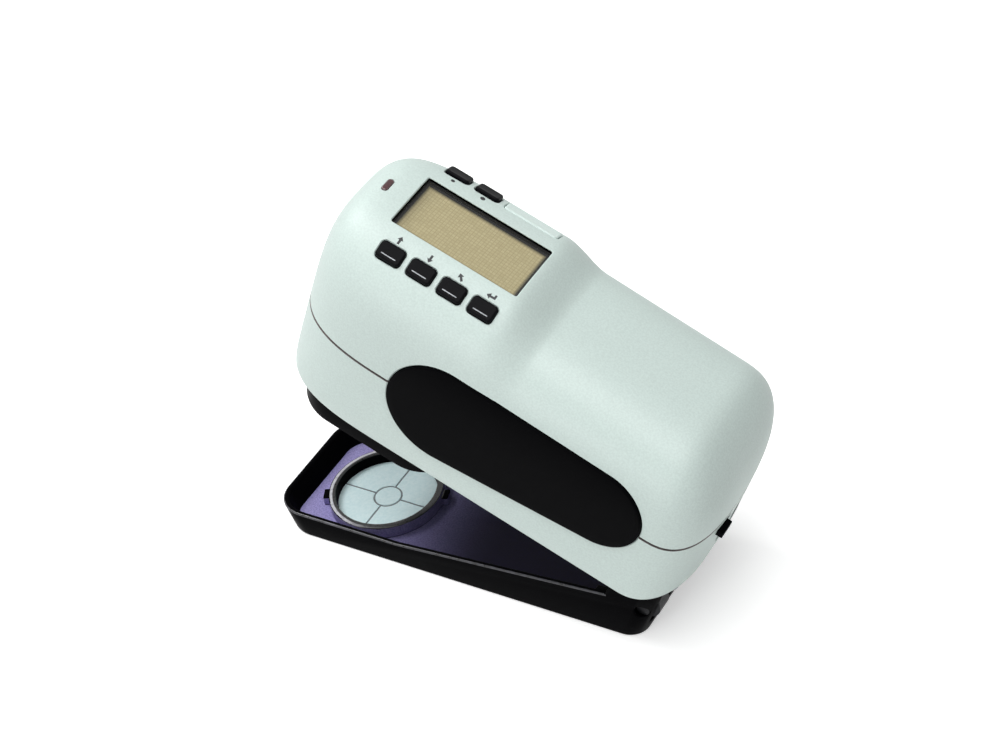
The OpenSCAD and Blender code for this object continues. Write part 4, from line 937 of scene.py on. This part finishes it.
rear_sockets = (("data_socket", "data_port", 0.25 * mm), ("charger_socket", "charger_jack", 0.2 * mm))
for name, node, ease in rear_sockets:
    settle(piece_from(name, sunk(softened(node, ease)), [black_abs]), "instrument", "black_plastic", node)
eased("switch_knob", "power_switch", 0.4 * mm, black_abs, "power_switch", "black_plastic")

# Upper case
# The upper half of the shell carries the display and the keys. It is moulded in the same pale ABS as the
# lower half, with the edges of its openings eased.
key_pitch, row_keys, far_keys = 14.2 * mm, 4, 2
key_row_y = 26.5 * mm
key_tilt = math.radians(26)
key_length, key_width, key_corner = 11 * mm, 7.4 * mm, 1.6 * mm
key_play, key_cut = 0.35 * mm, 9 * mm
blank_length = key_pitch + key_length
window_x = body_front + 54 * mm
window_size, window_corner = (58 * mm, 29 * mm), 0.6 * mm
window_play, window_cut, window_fill = 0.3 * mm, 12 * mm, 16
lip_depth, seat_start = 1.2 * mm, parting_z + 10 * mm
frame_rim, frame_flange, frame_depth, flange_height = 1.4 * mm, 1.5 * mm, 7.2 * mm, 2.2 * mm
frame_play = 0.1 * mm
head_z = body_bottom + body_height
lamp_x = body_front + 14 * mm
lamp_length, lamp_width = 7 * mm, 2.6 * mm
lamp_corner, lamp_play, lamp_cut = 0.49 * lamp_width, 0.1 * mm, 8 * mm
opening_edge, opening_rise = 0.35 * mm, 5 * mm
skin_rounds, corner_steps = 8, 6


def rounded(length, width, corner, border=0, fill=8):
    """Points of a rounded rectangle, with extra points along its straight sides."""
    half_x, half_y, radius = length / 2 + border, width / 2 + border, corner + border
    arcs = []
    for turn, (sx, sy) in enumerate(((1, 1), (-1, 1), (-1, -1), (1, -1))):
        for k in range(corner_steps + 1):
            angle = math.pi / 2 * (turn + k / corner_steps)
            arcs.append((sx * (half_x - radius) + radius * math.cos(angle),
                         sy * (half_y - radius) + radius * math.sin(angle)))
    points = []
    for k, point in enumerate(arcs):
        points.append(point)
        if k % (corner_steps + 1) == corner_steps:
            after = arcs[(k + 1) % len(arcs)]
            for i in range(1, fill):
                points.append(tuple(a + (b - a) * i / fill for a, b in zip(point, after)))
    return points


def on_shoulder(x, y, tilt):
    """The place of a piece on the upper skin at a point, tilted about the body's length."""
    return Matrix.Translation((x, y, shoulder(x, y))) @ Matrix.Rotation(tilt, 4, "X")


def skin_height(place, u, v):
    """Height of the skin over a point of a tilted place, along that place's own axis."""
    height = 0.0
    for _ in range(skin_rounds):
        spot = place @ Vector((u, v, height))
        height -= (spot.z - shoulder(spot.x, spot.y)) / place.col[2].z
    return height


def laid(place, outline, height):
    """An outline laid at a height over a place."""
    return [place @ Vector((u, v, height)) for u, v in outline]


def on_skin(place, outline, lift):
    """An outline laid over the skin at a place, and lifted from it."""
    return [place @ Vector((u, v, skin_height(place, u, v) + lift)) for u, v in outline]


def opening(place, size, corner, play, deep, form=None, fill=8, ease=1):
    """A cutter for an opening in the skin, with an eased edge that follows the skin."""
    plain = rounded(*size, corner, play, fill=fill)
    wide = rounded(*size, corner, play + ease * 1.4 * opening_edge, fill=fill)
    return loft([laid(place, plain, -deep), on_skin(place, plain, -opening_edge),
                 on_skin(place, wide, 0.4 * opening_edge), on_skin(place, wide, opening_rise)], form)


def window_ring(corner, border, z):
    """Outline of the display's opening with a border, at a height."""
    return [(window_x + u, v, z) for u, v in rounded(*window_size, corner, border)]


def key_x(slot):
    """Middle of a key's slot along the row."""
    return window_x + (slot - (row_keys - 1) / 2) * key_pitch


near_places = [on_shoulder(key_x(k), -key_row_y, key_tilt) for k in range(row_keys)]
far_places = [on_shoulder(key_x(k), key_row_y, -key_tilt) for k in range(far_keys)]
blank_place = on_shoulder(key_x(far_keys + 0.5), key_row_y, -key_tilt)
window_place = on_shoulder(window_x, 0, 0)
lamp_place = on_shoulder(lamp_x, 0, 0)
upper_cuts = opening(window_place, window_size, window_corner, window_play, window_cut, fill=window_fill)
frame_seat = loft([window_ring(window_corner, frame_rim + frame_play, z)
                   for z in (seat_start, head_z - lip_depth)])
for place in near_places + far_places:
    opening(place, (key_length, key_width), key_corner, key_play, key_cut, upper_cuts)
opening(blank_place, (blank_length, key_width), key_corner, key_play, key_cut, upper_cuts, 12)
opening(lamp_place, (lamp_width, lamp_length), lamp_corner, lamp_play, lamp_cut, upper_cuts, ease=0.5)
column_start = parting_z - cut_spare
rods(column_spots, [(column_hole_r, column_start), (column_hole_r, column_start + screw_length)], upper_cuts)
upper_hollow = carved(whole_skin(case_wall), [
    rods(column_spots, [(column_r, column_start), (column_r, parting_z + body_height)])])
upper_form = carved(half_shell(True), [upper_hollow, grip_recesses(), upper_cuts, frame_seat])
case_half("upper_shell", upper_form, "upper_case")


# Display
# A black moulded frame under the lip of the case holds a clear acrylic pane over a reflective liquid crystal
# panel, whose fine dots show as a faint grid on its khaki face. A milky light guide lies behind it.
def turned_open(name, form, finishes, sharp, body, slot, *nodes):
    """A piece from a form that is drawn with the body closed, turned open and put on its body."""
    form.transform(opened)
    settle(piece_from(name, form, finishes, sharp), body, slot, *nodes)


frame_bottom = head_z - frame_depth
flange_top, flange_rim = frame_bottom + flange_height, frame_rim + frame_flange
bore_corner = 0.3 * mm
frame_block = loft([window_ring(window_corner, border, z) for border, z in (
    (flange_rim, frame_bottom), (flange_rim, flange_top), (frame_rim, flange_top),
    (frame_rim, head_z - lip_depth - frame_play))])
frame_bore = loft([window_ring(bore_corner, 0, z) for z in (frame_bottom - cut_spare, head_z)])
turned_open("display_bezel", carved(frame_block, [frame_bore]), [black_abs], 35, "instrument",
            "black_plastic", "display_frame")
# Polished acrylic: nearly unseen, with a faint reflection. The guide's milky acrylic is an even soft white.
clear_acrylic = grained("clear_acrylic", "#eef1ea", "#f4f6f1", 5 * mm, 0.0, (0.04, 0.07),
                        {"Alpha": 0.02, "Specular IOR Level": 0.08})
milky_acrylic = grained("milky_acrylic", "#e2e2da", "#ecece6", 3 * mm, 0.0, (0.3, 0.4))
lcd_face, lcd_tree = blank("reflective_liquid_crystal")
lcd_place = add(lcd_tree, "ShaderNodeTexCoord")
# The real dots are about 0.4 mm apart and are drawn 1.5 mm apart, so that they show.
dot_pitch = 1.5 * mm
# The pattern is turned with the body and centred on the panel.
lcd_points = [v.co for v in frame["nodes"]["lcd_panel"].data.vertices]
lcd_middle = closed.to_3x3() @ (sum(lcd_points, Vector()) / len(lcd_points))
lcd_turn = add(lcd_tree, "ShaderNodeMapping", {
    "Vector": lcd_place.outputs["Object"], "Location": -lcd_middle,
    "Rotation": (0, -math.radians(hinge["range_deg"][1]), 0)})
lcd_dots = add(lcd_tree, "ShaderNodeTexBrick", {
    "Vector": lcd_turn.outputs[0], "Color1": linear("#b5aa84"), "Color2": linear("#aca17b"),
    "Mortar": linear("#a0956f"), "Scale": 1 / dot_pitch, "Mortar Size": 0.1, "Brick Width": 1.0,
    "Row Height": 1.0}, offset=0.0)
# The glass is printed black round its edge, and the soft fade inward from the print is painted shade from the
# frame's walls.
lcd_border, lcd_shade_fade = 1.1 * mm, 1.5 * mm
lcd_half = (window_size[0] / 2, window_size[1] / 2, 0)
lcd_away = add(lcd_tree, "ShaderNodeVectorMath", {0: lcd_turn.outputs[0]}, operation="ABSOLUTE")
lcd_left = add(lcd_tree, "ShaderNodeVectorMath", {0: lcd_half, 1: lcd_away.outputs[0]}, operation="SUBTRACT")
lcd_axes = add(lcd_tree, "ShaderNodeSeparateXYZ", {"Vector": lcd_left.outputs[0]})
lcd_edge = add(lcd_tree, "ShaderNodeMath", {0: lcd_axes.outputs["X"], 1: lcd_axes.outputs["Y"]},
               operation="MINIMUM")
lcd_clear = add(lcd_tree, "ShaderNodeMapRange", {
    "Value": lcd_edge.outputs[0], "From Min": lcd_border, "From Max": lcd_border + lcd_shade_fade})
lcd_border_and_shade = add(lcd_tree, "ShaderNodeMix", {
    "Factor": lcd_clear.outputs[0], 6: linear("#0a090c"), 7: lcd_dots.outputs["Color"]}, data_type="RGBA")
lcd_shader = add(lcd_tree, "ShaderNodeBsdfPrincipled", {
    "Base Color": lcd_border_and_shade.outputs[2], "Roughness": 0.45, "Specular IOR Level": 0.2})
add(lcd_tree, "ShaderNodeOutputMaterial", {"Surface": lcd_shader.outputs[0]})
dressed(clear_acrylic, "display_window")
dressed(lcd_face, "lcd_panel")
dressed(milky_acrylic, "lcd_backlight")

# Keys
# Black moulded caps with rounded edges stand through the shoulder, four on the near side and two on the far
# side, each on its own spring. The near ones carry a plain white bar, and a pale plate fills the far row.
key_proud, key_root = 1.3 * mm, -5 * mm
plate_proud, plate_root = 0.2 * mm, -5.4 * mm
key_round, round_steps, least_corner = 0.8 * mm, 6, 0.2 * mm
key_dish = ((1.5 * mm, 0.04 * mm), (2.2 * mm, 0.1 * mm))
# Moulded black caps: satin, with a soft line of light on the rounded edge.
key_black = grained("satin_key_cap", "#060608", "#0c0c0f", 0.5 * mm, 0.01 * mm, (0.3, 0.4),
                    {"Specular IOR Level": 0.04})
# White ink from a printing pad: flat, and slightly grey where the black shows through.
bar_ink = grained("white_pad_print", "#a6abb0", "#bcc1c5", 0.4 * mm, 0.01 * mm, (0.5, 0.6))
# Pale ABS from a smooth mould face: slightly lighter and shinier than the case.
strip_pale = grained("smooth_pale_abs", "#cfdfda", "#d8e7e2", 0.8 * mm, 0.01 * mm, (0.35, 0.45))


def cap(place, length, proud, root):
    """A key cap with a rounded edge and a slightly dished top."""
    levels = [(0, root), (0, proud - key_round)]
    for k in range(1, round_steps + 1):
        angle = math.pi / 2 * k / round_steps
        levels.append((-key_round * (1 - math.cos(angle)), proud - key_round * (1 - math.sin(angle))))
    levels += [(-inset, proud - dip) for inset, dip in key_dish]
    rings = []
    for border, height in levels:
        corner = max(key_corner, least_corner - border)
        rings.append(laid(place, rounded(length, key_width, corner, border), height))
    return loft(rings)


bar_size, bar_corner = (6.6 * mm, 0.36 * mm), 0.15 * mm
bar_v, bar_sink = -1.7 * mm, 0.3 * mm
bar = [(u, v + bar_v) for u, v in rounded(*bar_size, bar_corner)]
key_bodies = ["menu_key_1", "menu_key_2", "menu_key_3", "menu_key_4", "target_key", "read_key"]
for k, (body, place) in enumerate(zip(key_bodies, near_places + far_places)):
    key_form = cap(place, key_length, key_proud, key_root)
    if k < row_keys:
        faces_before = len(key_form.faces)
        loft([laid(place, bar, height) for height in (key_proud - bar_sink, key_proud)], key_form)
        key_form.faces.ensure_lookup_table()
        for face in key_form.faces[faces_before:]:
            face.material_index = 1
    turned_open(body + "_cap", key_form, [key_black, bar_ink], 40, body, "key_plastic", body)
turned_open("blank_plate", cap(blank_place, blank_length, plate_proud, plate_root), [strip_pale], 40,
            "instrument", "strip_plastic", "blank_key")

# Status lamp
# A small dark red lens in front of the display, moulded in clear tinted acrylic and pressed in from inside.
# It stands slightly proud, with a rounded top.
red_lens = grained("tinted_red_acrylic", "#3a1216", "#4a181c", 1.0 * mm, 0.0, (0.12, 0.2),
                   {"Coat Weight": 0.5})
lens_levels = ((0, -4.6 * mm), (0, 0), (-0.15 * mm, 0.2 * mm), (-0.5 * mm, 0.34 * mm), (-0.9 * mm, 0.4 * mm))
lens_form = loft([laid(lamp_place, rounded(lamp_width, lamp_length, lamp_corner, border), height)
                  for border, height in lens_levels])
turned_open("lamp_lens", lens_form, [red_lens], 50, "instrument", "lamp_lens", "status_led")

# Printed marks
# Small dark signs are pad printed between the display and the keys: an arrow by each near key and a plain
# spot by each far one. The ink is flat and dark grey.
mark_ink = grained("dark_pad_print", "#1a1b1e", "#26272a", 0.4 * mm, 0.01 * mm, (0.5, 0.6))
mark_lift, mark_sink = 0.03 * mm, 0.2 * mm
arrow = [(-0.5, -1.7), (0.5, -1.7), (0.5, 0.2), (1.3, 0.2), (0, 1.8), (-1.3, 0.2), (-0.5, 0.2)]
hooked = [(-2.1, -0.2), (-0.4, -1.5), (-0.4, -0.7), (2.0, -0.7), (2.0, 1.3), (1.1, 1.3), (1.1, 0.2),
          (-0.4, 0.2), (-0.4, 1.1)]
mark_y = 20.4 * mm
marks = []
for k, (turn, outline) in enumerate(((0, arrow), (180, arrow), (40, arrow), (0, hooked))):
    swing = Matrix.Rotation(math.radians(turn), 2)
    marks.append((k, -mark_y, [swing @ Vector(point) * mm for point in outline]))
marks += [(k, mark_y, circle(radius, 24)) for k, radius in ((0, 0.9 * mm), (1, 1.1 * mm))]
mark_form = bmesh.new()
for k, y, outline in marks:
    place = on_shoulder(key_x(k), y, 0)
    loft([on_skin(place, outline, lift) for lift in (-mark_sink, mark_lift)], mark_form)
turned_open("printed_marks", mark_form, [mark_ink], 35, "instrument", "key_plastic")

# Side grips
# Soft black rubber pads lie in shallow recesses over the parting line, glued to both halves of the case.
# Each is gently crowned, with a rounded edge. The rubber is dull black, with a matte grain of about 0.2 mm
# that is drawn at 0.7 mm, so that it shows.
grip_rubber = grained("moulded_grip_rubber", "#010102", "#030304", 0.7 * mm, 0.02 * mm, (0.5, 0.62),
                      {"Specular IOR Level": 0.02})
grip_round, grip_steps = 0.9 * mm, 5
grip_proud, grip_sink, grip_crown = 1.2 * mm, 0.9 * mm, 0.2 * mm
grip_levels = [(0.97, 0, -grip_sink), (0.5, 0, -grip_sink), (0, 0, -grip_sink),
               (0, 0, grip_proud - grip_round - grip_crown)]
for k in range(1, grip_steps + 1):
    angle = math.pi / 2 * k / grip_steps
    grip_levels.append((0, -grip_round * (1 - math.cos(angle)),
                        grip_proud - grip_crown - grip_round * (1 - math.sin(angle))))
grip_levels += [(share, -grip_round * (1 - share), grip_proud - grip_crown * (1 - share) ** 2)
                for share in (0.15, 0.35, 0.6, 0.8, 0.97)]
for name, side in (("grip_near", -1), ("grip_far", 1)):
    turned_open(name + "_pad", loft(lozenge(grip_levels, side)), [grip_rubber], 60, "instrument",
                "grip_rubber", name)

bpy.context.view_layer.update()
